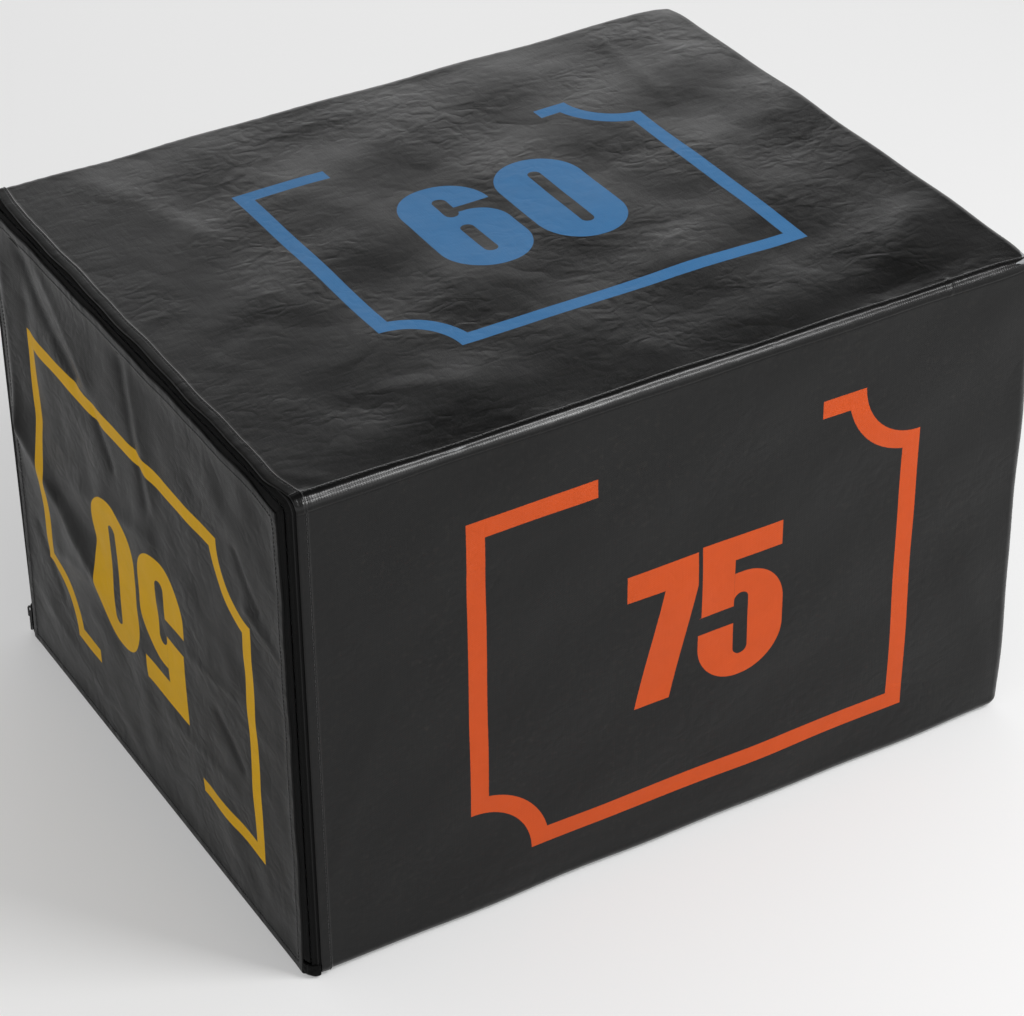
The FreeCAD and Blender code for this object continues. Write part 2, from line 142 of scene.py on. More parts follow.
MID_Z = TOP / 2
sides = {
    "top": Side((0, 0, TOP), (1, 0, 0), (0, 1, 0), ROUND),
    "front": Side((0, FRONT, MID_Z), (1, 0, 0), (0, 0, 1), ROUND),
    "back": Side((0, BACK, MID_Z), (-1, 0, 0), (0, 0, 1), ROUND),
    "right_end": Side((RIGHT, 0, MID_Z), (0, 1, 0), (0, 0, 1), ROUND),
    "base": Side((0, 0, 0), (1, 0, 0), (0, -1, 0), ROUND),
    "flap": Side((LEFT, 0, MID_Z), (0, -1, 0), (0, 0, 1), 0),
}
for name, side in sides.items():
    print(name, "half size %.0f x %.0f mm" % (side.half[0] / MM, side.half[1] / MM))

# %% [markdown]
# ## How the edges are finished
# Three finishes show. A plain seam dips where two pieces are joined. A felled seam, along the front of
# the top, has its allowance turned under and stitched down, so a low band runs beside a smooth ridge. A
# hem, beside the zip, is the cloth folded back and stitched. Bump alone would leave the outline flat, so
# each finish is a height over the distance from the edge, and the mesh gets close grid lines there.

# %% Edge finishes as heights, in millimetres
SEAM_DIP = 0.8
SEAM_ROLL = 2.4
FELL_WIDTH = 9.4
FELL_RISE = 0.7
FELL_START = 3.5
FELL_STEP = 0.8
RIDGE_SEAM = 9.5
RIDGE_DIP = 0.3
HEM_WIDTH = 10.0
HEM_RISE = 0.5
HEM_FALL = 1.0
HEM_STEP = 0.6
FLAP_HEM_RISE = 0.3
FLAP_HEM_FADE = (0.6 * HEM_WIDTH, 1.4 * HEM_WIDTH)
FLAP_STITCH_DEPTH = 0.5
HEM_LIP = 1.5
STITCH_LINE = 8.2
STITCH_DENT = 0.35
STITCH_HALF = 0.7


def ramp(x, low, high):
    """0 below low, 1 above high, with a smooth step between them."""
    x = np.clip((x - low) / (high - low), 0, 1)
    return x * x * (3 - 2 * x)


def rolled(e, radius):
    """-1 at the edge, 0 from the radius on, a quarter circle between them."""
    return np.sqrt(1 - (1 - np.clip(e / radius, 0, 1)) ** 2) - 1


def stitch_dent(e):
    return -STITCH_DENT * np.exp(-(((e - STITCH_LINE) / STITCH_HALF) ** 2))


def plain_seam(e):
    return SEAM_DIP * rolled(e, SEAM_ROLL)


def felled_seam(e):
    """The turned band on the top, level with the ridge at the edge itself."""
    band = ramp(e, 0, FELL_START) - ramp(e, FELL_WIDTH - FELL_STEP, FELL_WIDTH + FELL_STEP)
    return FELL_RISE * band + stitch_dent(e)


def under_ridge(e):
    """The upright piece runs up over the ridge, and its seam line lies just below it."""
    return -RIDGE_DIP * np.exp(-(((e - RIDGE_SEAM) / STITCH_HALF) ** 2))


def hem(e):
    """The folded hem falls towards the zip."""
    rise = HEM_RISE + HEM_FALL * np.clip(e / HEM_WIDTH, 0, 1)
    band = rise * (1 - ramp(e, HEM_WIDTH - HEM_STEP, HEM_WIDTH + HEM_STEP))
    return (CLOTH / MM + HEM_RISE) * rolled(e, HEM_LIP) + band + stitch_dent(e)


def flap_hem(e):
    """The flap's hem is pressed flat, so it hardly shows."""
    band = FLAP_HEM_RISE * (1 - ramp(e, *FLAP_HEM_FADE))
    lip = (CLOTH / MM + FLAP_HEM_RISE) * rolled(e, HEM_LIP)
    return lip + band + FLAP_STITCH_DEPTH * stitch_dent(e)


MITRE = ROUND * (1 - math.pi / 4)
FINISHES = {
    "plain": (plain_seam, MITRE),
    "soft": (lambda e: 0 * e, MITRE),
    "felled": (felled_seam, MITRE),
    "ridge": (under_ridge, MITRE),
    "shell_hem": (hem, ROUND),
    "flap_hem": (flap_hem, ROUND + FLAP_GAP),
    "hinge": (flap_hem, FLAP_GAP),
}
print("finishes:", ", ".join(FINISHES))

# %% [markdown]
# ## Cut pieces of cloth
# A cut piece knows its side, its four finishes and its creases. The large creases are drawn from start
# to end with a height and a width, because they are what a person remembers of this cover. Small
# puckers beside the stitches come from a few seeded waves, as thread draws coated cloth together.


# %% Creases and puckers
FOLD_ROUND = 0.3
FOLD_STEEP = 1.6


def crease(u, v, *line):
    """A folded ridge, or a trough where the height is negative, along a line of points."""
    *points, height, width = line
    nearest = np.full(np.shape(u), np.inf)
    for start, end in zip(points, points[1:]):
        way = np.subtract(end, start)
        share = np.clip(((u - start[0]) * way[0] + (v - start[1]) * way[1]) / (way @ way), 0, 1)
        apart = np.hypot(u - start[0] - share * way[0], v - start[1] - share * way[1])
        nearest = np.minimum(nearest, apart)
    flank = np.sqrt((nearest / width) ** 2 + FOLD_ROUND**2) - FOLD_ROUND
    return height * np.exp(-FOLD_STEEP * flank)


PUCKER_WAVES = 5
PUCKER_HEIGHT = 0.11
PUCKER_REACH = 9.0
PUCKER_LENGTHS = (11, 31)
PUCKER_START = (1, 4)


def puckers(e, along, seed):
    """Small waves along a stitched edge, which die out away from it."""
    rng = np.random.default_rng(seed)
    lengths = rng.uniform(*PUCKER_LENGTHS, PUCKER_WAVES)
    phases = rng.uniform(0, 2 * math.pi, PUCKER_WAVES)
    wave = sum(np.sin(2 * math.pi * along / n + p) for n, p in zip(lengths, phases))
    return PUCKER_HEIGHT * wave * np.exp(-e / PUCKER_REACH) * ramp(e, *PUCKER_START)


print("puckers of at most %.2f mm" % (PUCKER_WAVES * PUCKER_HEIGHT))


# %% Give of the foam
SOFT_CORNERS = [(RIGHT, FRONT, TOP), (RIGHT, BACK, TOP)]
CORNER_GIVE = 4.5
CORNER_REACH = 22.0
EDGE_GIVE = 1.6
EDGE_REACH = 34.0
WAVER = 0.45
FIRM_BY_ZIP = (30 * MM, 120 * MM)
WAVES = [((0.041, 0.013, 0.022), 0.4), ((0.017, -0.052, 0.031), 2.1), ((-0.025, 0.029, 0.047), 4.0)]


def give(points):
    """How far the soft core lets the cloth sink at two corners and an edge, and waver, in mm.

    Beside the zip the hems hold the cloth firm.
    """
    from_edge = np.hypot(points[..., 1] - FRONT, points[..., 2] - TOP) / MM
    wave = sum(np.sin(points @ np.array(way) / MM + start) for way, start in WAVES)
    height = WAVER * wave - EDGE_GIVE * np.exp(-((from_edge / EDGE_REACH) ** 2))
    height = height * ramp(points[..., 0] - HEM_X, *FIRM_BY_ZIP)
    for corner in SOFT_CORNERS:
        apart = np.linalg.norm(points - np.array(corner), axis=-1) / MM
        height = height - CORNER_GIVE * np.exp(-((apart / CORNER_REACH) ** 2))
    return height


print("%d corners sink by up to %.1f mm" % (len(SOFT_CORNERS), CORNER_GIVE))


# %% A cut piece
CREASE_FADE = (2.0, 26.0)
CORNER_FADE = 5.0
OVERHANG_FADE = 45.0
DRAWN_IN_FADE = 160.0
OVERHANG_START = 4.0
LONG_WAVER, LONG_WAVE = 0.35, 23.0
SHORT_WAVER, SHORT_WAVE = 0.25, 11.0
WAVER_MOST = 1.8


class Cut:
    """One piece of the cover. Edges are finishes in the order left, right, bottom, top.

    Overhangs, in the same order, are how far the middle of an edge reaches past its line, in mm. Below
    zero the edge is drawn in.
    """

    def __init__(self, side, edges, creases=(), nips=(), overhangs=(0, 0, 0, 0)):
        self.side = side
        self.edges = edges
        self.creases = creases
        self.nips = nips
        self.overhangs = overhangs
        inset = [FINISHES[edge][1] for edge in edges]
        self.low = (inset[0] - side.half[0], inset[2] - side.half[1])
        self.high = (side.half[0] - inset[1], side.half[1] - inset[3])
        self.slack = lambda s, t: 0 * s

    def from_edges(self, s, t):
        """Distance from each edge and place along it, in millimetres."""
        return [
            ((s - self.low[0]) / MM, t / MM),
            ((self.high[0] - s) / MM, t / MM),
            ((t - self.low[1]) / MM, s / MM),
            ((self.high[1] - t) / MM, s / MM),
        ]

    def lift(self, s, t):
        """Height of the outer face over the plain rounded box, in metres."""
        u = (s + self.side.half[0]) / MM
        v = (t + self.side.half[1]) / MM
        near = self.from_edges(s, t)
        height = self.slack(s, t)
        for item in self.creases:
            height = height + crease(u, v, *item)
        for e, _ in near:
            height = height * ramp(e, *CREASE_FADE)
        for item in self.nips:
            height = height + crease(u, v, *item)
        for number, (edge, (e, along)) in enumerate(zip(self.edges, near)):
            finish = FINISHES[edge][0](e)
            if edge == "plain":
                for beside, _ in near[2:] if number < 2 else near[:2]:
                    finish = finish * ramp(beside, 0, CORNER_FADE)
            height = height + finish + puckers(e, along, number)
        return height * MM

    def drawn(self, s, t):
        """Flat places after the edges have been drawn past their lines, with a slight waver."""
        shift = []
        for number, (e, along) in enumerate(self.from_edges(s, t)):
            length = self.size()[1 if number < 2 else 0] / MM
            reach = self.overhangs[number]
            fade = DRAWN_IN_FADE if reach < 0 else OVERHANG_FADE
            inward = ramp(length / 2 - abs(along), OVERHANG_START, fade)
            waver = LONG_WAVER * np.sin(along / LONG_WAVE + number)
            waver = waver + SHORT_WAVER * np.sin(along / SHORT_WAVE)
            reach = reach + waver * min(abs(reach), WAVER_MOST)
            shift.append(reach * inward * (1 - ramp(e, 0, OVERHANG_FADE)) * MM)
        return s - shift[0] + shift[1], t - shift[2] + shift[3]

    def place(self, s, t):
        """Points on the creased outer face, and the outward directions there."""
        points, out = self.side.wrap(*self.drawn(s, t))
        height = self.lift(s, t)
        if self.side.rounding:
            height = height + give(points) * MM
        points = points + height[..., None] * out
        points[..., 2] = np.maximum(points[..., 2], 0)
        return points, out

    def size(self):
        return self.high[0] - self.low[0], self.high[1] - self.low[1]


# %% The six pieces
TOP_CREASES = [
    ((22, 46), (52, 8), 0.9, 9), ((16, 304), (48, 312), 0.6, 6), ((640, 66), (694, 122), 1.1, 24),
    ((586, 22), (700, 40), -0.9, 18), ((642, 566), (632, 420), 0.6, 13), ((608, 250), (616, 332), 0.5, 11),
    ((90, 560), (136, 430), 0.8, 22), ((270, 560), (420, 548), 0.5, 15), ((120, 120), (214, 90), 0.5, 16),
    ((470, 190), (548, 214), 0.4, 10), ((60, 240), (120, 260), -0.4, 12), ((690, 300), (716, 380), 0.5, 14),
]
FRONT_CREASES = [
    ((25, 105), (88, 292), 0.5, 13), ((96, 372), (136, 346), 0.45, 8), ((160, 380), (292, 396), 0.35, 9),
    ((735, 34), (690, 190), 0.9, 22), ((30, 400), (70, 330), 0.4, 9), ((180, 20), (420, 34), 0.35, 12),
]
FLAP_CREASES = [
    ((-12, 297), (80, 237), (200, 186), 5.2, 23), ((122, 236), (206, 230), -3.6, 24),
    ((52, 494), (110, 436), (184, 398), -4.0, 12), ((84, 500), (214, 412), 2.4, 16),
    ((225, 384), (257, 343), -2.3, 8), ((290, 472), (326, 346), -2.2, 9), ((306, 474), (344, 350), 1.3, 12),
    ((504, 400), (540, 360), -1.7, 7), ((518, 350), (573, 334), 1.3, 7), ((448, 196), (493, 163), -1.8, 8),
    ((165, 268), (332, 312), 2.4, 18), ((108, 160), (172, 176), 2.0, 15), ((58, 162), (106, 110), -1.6, 11),
    ((398, 226), (482, 236), 1.2, 9), ((30, 80), (190, 40), 1.0, 14), ((340, 120), (470, 130), 0.9, 12),
    ((30, 262), (28, 440), 3.6, 22), ((86, 300), (78, 420), -2.6, 20),
]
END_CREASES = [
    ((120, 60), (300, 130), 1.0, 18), ((420, 440), (520, 330), 0.9, 15), ((80, 400), (150, 300), -0.9, 14),
]
# Nips in the ridge over the front, as distances along the front from the left end.
RIDGE_NIPS = [20, 27, 36, 655, 739, 745]
NIP_WIDTH = 2.2
TOP_NIPS = [((u, 3), (u + 2, 13), 0.6, NIP_WIDTH) for u in RIDGE_NIPS]
FRONT_NIPS = [((u, 497), (u - 2, 490), 0.5, NIP_WIDTH) for u in RIDGE_NIPS]

cuts = {
    "top": Cut(
        sides["top"], ("shell_hem", "soft", "felled", "soft"), TOP_CREASES, TOP_NIPS, (5.2, 0, 0, 0)),
    "front": Cut(sides["front"], ("shell_hem", "plain", "plain", "ridge"), FRONT_CREASES, FRONT_NIPS),
    "back": Cut(sides["back"], ("plain", "shell_hem", "plain", "ridge"), FRONT_CREASES),
    "right_end": Cut(sides["right_end"], ("plain", "plain", "plain", "ridge"), END_CREASES),
    "base": Cut(sides["base"], ("plain", "plain", "plain", "plain")),
    "flap": Cut(
        sides["flap"], ("flap_hem", "flap_hem", "hinge", "flap_hem"), FLAP_CREASES, (), (-6, 2, 0, 4)),
}
cuts["base"].low = (ROUND - sides["base"].half[0], cuts["base"].low[1])
for name, cut in cuts.items():
    print("%s is cut to %.0f x %.0f mm" % (name, cut.size()[0] / MM, cut.size()[1] / MM))

# %% [markdown]
# ## Slack in the cloth
# Coated cloth is stiff. Where it is cut a little too large it buckles into soft dents, a hand's breadth
# across, and they break up what the black film mirrors. Noise can imitate them, but it has no seams to
# hang from. Here each sheet is simulated as cloth: sewn down round its border, cut slightly
# too large, skewed, and laid on the foam. Its points are scattered, because buckles follow the lines of a
# regular grid. A weighted average of the points then gives a smooth height at any place.

# %% Cut the slack sheets
SHEET_STEP = 0.021
SCATTER = 0.38
SHEET_FRAMES = 40
FIRST_ROUGH = 2 * MM
SAME_POINT = 1e-7
SHEETS = {
    # piece: (extra size, skew, wanted spread of the dents in mm, seed)
    "top": (0.003, 0.004, 0.17, 7),
    "front": (0.002, 0.004, 0.20, 2),
    "flap": (0.006, 0.020, 1.00, 3),
    "back": (0.002, 0.006, 0.35, 4),
    "right_end": (0.003, 0.008, 0.50, 5),
}


def add_object(name, points, faces, *materials):
    """A mesh with its materials, as an object of the scene."""
    mesh = bpy.data.meshes.new(name)
    mesh.from_pydata(np.asarray(points).tolist(), [], faces)
    for material in materials:
        mesh.materials.append(material)
    made = bpy.data.objects.new(name, mesh)
    bpy.context.scene.collection.objects.link(made)
    return made


def slack_sheet(name, cut, extra, skew, seed):
    """A flat sheet in the place of a cut piece, whose rest shape is larger and skewed."""
    rng = np.random.default_rng(seed)
    across = [np.linspace(lo, hi, round((hi - lo) / SHEET_STEP) + 1) for lo, hi in zip(cut.low, cut.high)]
    s, t = (x.ravel() for x in np.meshgrid(*across, indexing="ij"))
    sewn = (s == across[0][0]) | (s == across[0][-1]) | (t == across[1][0]) | (t == across[1][-1])
    s = s + ~sewn * rng.uniform(-SCATTER, SCATTER, s.size) * SHEET_STEP
    t = t + ~sewn * rng.uniform(-SCATTER, SCATTER, t.size) * SHEET_STEP
    found = delaunay_2d_cdt([Vector(p) for p in zip(s, t)], [], [], 0, SAME_POINT)
    faces = [[found[3][corner][0] for corner in face] for face in found[2]]
    flat = cut.side.flat(s, t)
    rough = rng.normal(size=s.size) * ~sewn * FIRST_ROUGH
    sheet = add_object(name, flat + rough[:, None] * cut.side.out, faces)
    sheet.shape_key_add(name="Basis")
    larger = sheet.shape_key_add(name="larger")
    wide = cut.side.flat(s * (1 + extra) + skew * t, t * (1 + extra))
    larger.data.foreach_set("co", wide.ravel().astype(np.float32))
    pins = sheet.vertex_groups.new(name="sewn")
    pins.add([int(i) for i in np.nonzero(sewn)[0]], 1.0, "REPLACE")
    return sheet, larger, s, t, flat


def as_cloth(sheet, larger):
    """Coated cloth: hard to stretch, stiff to bend, and light."""
    cloth = sheet.modifiers.new("cloth", "CLOTH")
    settings = cloth.settings
    settings.quality = 8
    settings.mass = 0.3
    settings.tension_stiffness = settings.compression_stiffness = 100
    settings.shear_stiffness = 50
    settings.bending_stiffness = 60
    settings.tension_damping = settings.compression_damping = settings.shear_damping = 25
    settings.bending_damping = 5
    settings.air_damping = 5
    settings.effector_weights.gravity = 0.3
    settings.vertex_group_mass = "sewn"
    settings.rest_shape_key = larger
    cloth.collision_settings.distance_min = 1 * MM
    cloth.collision_settings.use_self_collision = False
    cloth.point_cache.frame_start = 1
    cloth.point_cache.frame_end = SHEET_FRAMES


# %% Let them settle on the foam
FOAM_SHY = 3 * MM
AVERAGE_OVER = 0.6 * SHEET_STEP
ROWS_AT_ONCE = 4000


def settled_height(s, t, height):
    """A smooth height over the piece from scattered points."""
    def at(places_s, places_t):
        flat_s, flat_t = places_s.ravel(), places_t.ravel()
        result = np.zeros(flat_s.size)
        for first in range(0, flat_s.size, ROWS_AT_ONCE):
            rows = slice(first, first + ROWS_AT_ONCE)
            apart = (flat_s[rows, None] - s) ** 2 + (flat_t[rows, None] - t) ** 2
            weight = np.exp(-apart / (2 * AVERAGE_OVER**2))
            result[rows] = weight @ height / weight.sum(1)
        return result.reshape(places_s.shape)
    return at


def settle_sheets():
    """Simulate every sheet at once and hand its dents to its cut piece."""
    scene = bpy.context.scene
    bpy.ops.mesh.primitive_cube_add(size=1, location=(0, 0, MID_Z))
    foam = bpy.context.object
    foam.scale = (RIGHT - LEFT - 2 * FOAM_SHY, BACK - FRONT - 2 * FOAM_SHY, TOP - 2 * FOAM_SHY)
    bpy.ops.object.transform_apply(scale=True)
    foam.modifiers.new("collision", "COLLISION")
    foam.collision.thickness_outer = 1 * MM
    laid = {}
    for name, (extra, skew, _, seed) in SHEETS.items():
        laid[name] = slack_sheet("slack_" + name, cuts[name], extra, skew, seed)
        as_cloth(*laid[name][:2])
    for number in range(1, SHEET_FRAMES + 1):
        scene.frame_set(number)
    depsgraph = bpy.context.evaluated_depsgraph_get()
    for name, (sheet, larger, s, t, flat) in laid.items():
        mesh = sheet.evaluated_get(depsgraph).to_mesh()
        points = np.zeros(len(mesh.vertices) * 3, np.float32)
        mesh.vertices.foreach_get("co", points)
        height = (points.reshape(-1, 3) - flat) @ cuts[name].side.out
        dents = settled_height(s, t, height)
        sample = dents(s, t)
        gain = SHEETS[name][2] / sample.std()
        middle = sample.mean()
        cuts[name].slack = lambda a, b, d=dents, m=middle, g=gain: (d(a, b) - m) * g
        print("%s: dents from %.1f to %.1f mm" % (
            name, (sample.min() - middle) * gain, (sample.max() - middle) * gain))
    scene.frame_set(1)
    for helper in [foam, *(item[0] for item in laid.values())]:
        mesh = helper.data
        bpy.data.objects.remove(helper)
        bpy.data.meshes.remove(mesh)


settle_sheets()

# %% [markdown]
# ## Shader sums in plain Python
# Node trees for weaves and prints need hundreds of small sums. Placing nodes by hand hides the idea, so
# a small class wraps a socket and gives it the usual operators. `a & b` is the larger of two values and
# `a | b` the smaller one, which for signed distances means both shapes and either shape.


# %% The Signal class
class Signal:
    """One output of a shader node, which can be used in ordinary sums."""

    def __init__(self, tree, socket=None):
        self.tree = tree
        self.socket = socket

    def node(self, kind, settings=None, values=None, output=0):
        """Any node: its type, its settings, then the values or links of its sockets."""
        made = self.tree.nodes.new("ShaderNode" + kind)
        for name, value in (settings or {}).items():
            setattr(made, name, value)
        for name, value in (values or {}).items():
            if isinstance(value, Signal):
                self.tree.links.new(value.socket, made.inputs[name])
            else:
                made.inputs[name].default_value = value
        return Signal(self.tree, made.outputs[output])

    def math(self, operation, *others):
        return self.node("Math", {"operation": operation}, dict(enumerate((self, *others))))

    def __add__(self, other):
        return self.math("ADD", other)

    def __sub__(self, other):
        return self.math("SUBTRACT", other)

    def __rsub__(self, other):
        return self.math("MULTIPLY_ADD", -1.0, other)

    def __mul__(self, other):
        return self.math("MULTIPLY", other)

    def __truediv__(self, other):
        return self.math("DIVIDE", other)

    def __and__(self, other):
        return self.math("MAXIMUM", other)

    def __or__(self, other):
        return self.math("MINIMUM", other)

    def __neg__(self):
        return self * -1.0

    def __abs__(self):
        return self.math("ABSOLUTE")

    __radd__ = __add__
    __rmul__ = __mul__
    __rand__ = __and__
    __ror__ = __or__

    def wave(self, length):
        """A sine of a given wavelength."""
        return (self * (2 * math.pi / length)).math("SINE")

    def clipped(self):
        return self.node("Clamp", {}, {0: self})

    def between(self, low, high):
        """0 below low, 1 above high, smooth between them."""
        settings = {"interpolation_type": "SMOOTHSTEP"}
        return self.node("MapRange", settings, {"Value": self, "From Min": low, "From Max": high})

    def tint(self, start, end):
        """A colour from start to end as this value goes from 0 to 1."""
        return self.node("Mix", {"data_type": "RGBA"}, {0: self, 6: start, 7: end}, 2)

    def stretched(self, x, y):
        return self.node("VectorMath", {"operation": "MULTIPLY"}, {0: self, 1: (x, y, 1.0)})

    def part(self, axis):
        return self.node("SeparateXYZ", {}, {0: self}, axis)

    def noise(self, length, detail=2.0, lean=0.0):
        """Noise of a given grain size over this place, about zero."""
        values = {"Vector": self, "Scale": 1 / length, "Detail": detail, "Distortion": lean}
        return self.node("TexNoise", {}, values) - 0.5


def new_finish(name):
    """A material, its surface shader, and a blank signal to start sums from."""
    material = bpy.data.materials.new(name)
    material.use_nodes = True
    tree = material.node_tree
    return material, tree.nodes["Principled BSDF"], Signal(tree)


def feed(shader, **sockets):
    """Link signals to, or set numbers on, the shader's sockets, whose names are written with _."""
    for name, value in sockets.items():
        socket = shader.inputs[name.replace("_", " ")]
        if isinstance(value, Signal):
            value.tree.links.new(value.socket, socket)
        else:
            socket.default_value = value


def bump(height):
    """A Bump node for a height in millimetres."""
    return height.node("Bump", {}, {"Height": height, "Distance": MM})


def grey(value):
    return (value, value, value, 1)


def cut_map(blank):
    """Flat coordinates of a cut piece in metres, then each of the two in millimetres."""
    flat = blank.node("UVMap", {"uv_map": "cut"})
    return flat, flat.part(0) / MM, flat.part(1) / MM


print("shader sums ready")

# %% [markdown]
# ## Prints
# The numbers and their line frames are screen-printed, so they have no thickness to model, only crisp
# edges. A picture could hold them, but a formula stays sharp at any size. Each shape is a signed distance
# in millimetres on the flat cloth, below zero inside the ink. The frame has two square corners and two
# scooped ones, and its upper bar has a gap, which stays bare.


# %% Simple shapes as signed distances
def plate(u, v, left, right, bottom, top):
    return (left - u) & (u - right) & (bottom - v) & (v - top)


def disc(u, v, middle, radius):
    across, along = u - middle[0], v - middle[1]
    return (across * across + along * along).math("SQRT") - radius


def round_plate(u, v, left, right, bottom, top, radius):
    """A plate with round corners."""
    over_u = abs(u - (left + right) / 2) - ((right - left) / 2 - radius)
    over_v = abs(v - (bottom + top) / 2) - ((top - bottom) / 2 - radius)
    corner_u, corner_v = over_u & 0.0, over_v & 0.0
    corner = (corner_u * corner_u + corner_v * corner_v).math("SQRT")
    return corner + ((over_u & over_v) | 0.0) - radius


def right_of(u, v, start, end):
    """Below zero to the right of a line from start to end."""
    length = math.dist(start, end)
    du, dv = (end[0] - start[0]) / length, (end[1] - start[1]) / length
    return (v - start[1]) * du - (u - start[0]) * dv


# %% Heavy narrow digits, 155 high
DIGIT_HEIGHT = 155.0


def zero(u, v):
    return round_plate(u, v, 0, 88, 0, 155, 43) & -round_plate(u, v, 38, 51, 25, 131, 6.4)


def five(u, v):
    bar = plate(u, v, 4, 88, 129, 155)
    stem = plate(u, v, 3, 38, 78, 155)
    bowl = round_plate(u, v, 0, 91, 0, 114, 44) & -round_plate(u, v, 38, 53.5, 23, 91, 7.6)
    notch = plate(u, v, -5, 40, 59, 78)
    shoulder = plate(u, v, -5, 38, 78, 120)
    return bar | stem | (bowl & -notch & -shoulder)


def six(u, v):
    outer = round_plate(u, v, 0, 88, 0, 155, 43)
    bowl = round_plate(u, v, 0, 88, -20, 102, 30)
    slot = plate(u, v, 37.5, 95, 60, 111)
    counters = round_plate(u, v, 37.5, 51, 25, 79, 6.6) | round_plate(u, v, 37.5, 51.5, 96, 131, 6.8)
    return outer & -counters & -(slot & -bowl)


def seven(u, v):
    bar = plate(u, v, 0, 77, 126, 155)
    leg = plate(u, v, 0, 77, 0, 127)
    slant = right_of(u, v, (9.5, 0), (41, 127)) & -right_of(u, v, (47.5, 0), (77, 119))
    return bar | (leg & slant)


# %% A scooped line frame and a number
def line_frame(u, v, left, right, bottom, top, line, scoop, gap):
    """A frame scooped at upper right and lower left, with a gap in its upper bar."""
    corners = [(right, top), (left, bottom)]
    outer = plate(u, v, left, right, bottom, top)
    inner = plate(u, v, left + line, right - line, bottom + line, top - line)
    for corner in corners:
        outer = outer & -disc(u, v, corner, scoop)
        inner = inner & -disc(u, v, corner, scoop + line)
    return outer & -inner & -plate(u, v, gap[0], gap[1], top - 2 * line, top + line)


def number(u, v, digits):
    """Digits given as (shape, left edge, foot, height)."""
    shapes = []
    for shape, left, foot, height in digits:
        scale = height / DIGIT_HEIGHT
        shapes.append(shape((u - left) / scale, (v - foot) / scale) * scale)
    first, second = shapes
    return first | second


def front_print(u, v):
    frame_line = line_frame(u, v, 164, 627, 54, 424, 18, 61, (292, 521))
    return frame_line | number(u, v, [(seven, 322, 165, 147), (five, 396.5, 163, 152)])


def top_print(u, v):
    frame_line = line_frame(u, v, 190, 595, 137, 467, 15.5, 52, (283, 509))
    return frame_line | number(u, v, [(six, 301, 235, 155), (zero, 401, 235, 153)])


def flap_print(u, v):
    """The flap's print stands on its head, so it is drawn in turned coordinates."""
    turned_u = 2 * sides["flap"].half[0] / MM - u
    turned_v = 2 * sides["flap"].half[1] / MM - v
    frame_line = line_frame(turned_u, turned_v, 75, 524, 108, 421, 15, 57, (194, 415))
    digits = [(five, 212, 206, 155), (zero, 311, 203, 158)]
    return frame_line | number(turned_u, turned_v, digits)


print("three prints drawn")

# %% [markdown]
# ## Coated cloth
# The cover is a polyester scrim between two films of soft PVC. The film is black with a satin shine, the
# scrim shows through it as a faint check of about 2 mm, and handling leaves fine crinkles, dull patches
# and a little dust. The flap is handled most, so its film is dulled more. The inside has no film worth the
# name: the weave lies open there. All of it is relief far below a millimetre, so a Bump node can carry it.

# %% Outer face of the cloth
SCRIM = 2.0
SCRIM_RISE = 0.028
RIB = 2.4
RIB_RISE = 2.0 * SCRIM_RISE
FILM_BLACK = grey(0.0045)
FILM_DUSTY = (0.021, 0.019, 0.016, 1)
FILM_ROUGH = 0.31
LEAST_ROUGH = 0.285
FILM_SHINE = 0.23
HANDLED_SHINE = 0.10
POLISH = 0.75
POLISH_ROUGH = 0.33
POLISH_FADES = (200, 640)
POLISH_LOST = 0.75
INK_SOFT = 0.5
INK_ROUGH = 0.22
INK_SHADE = 0.86


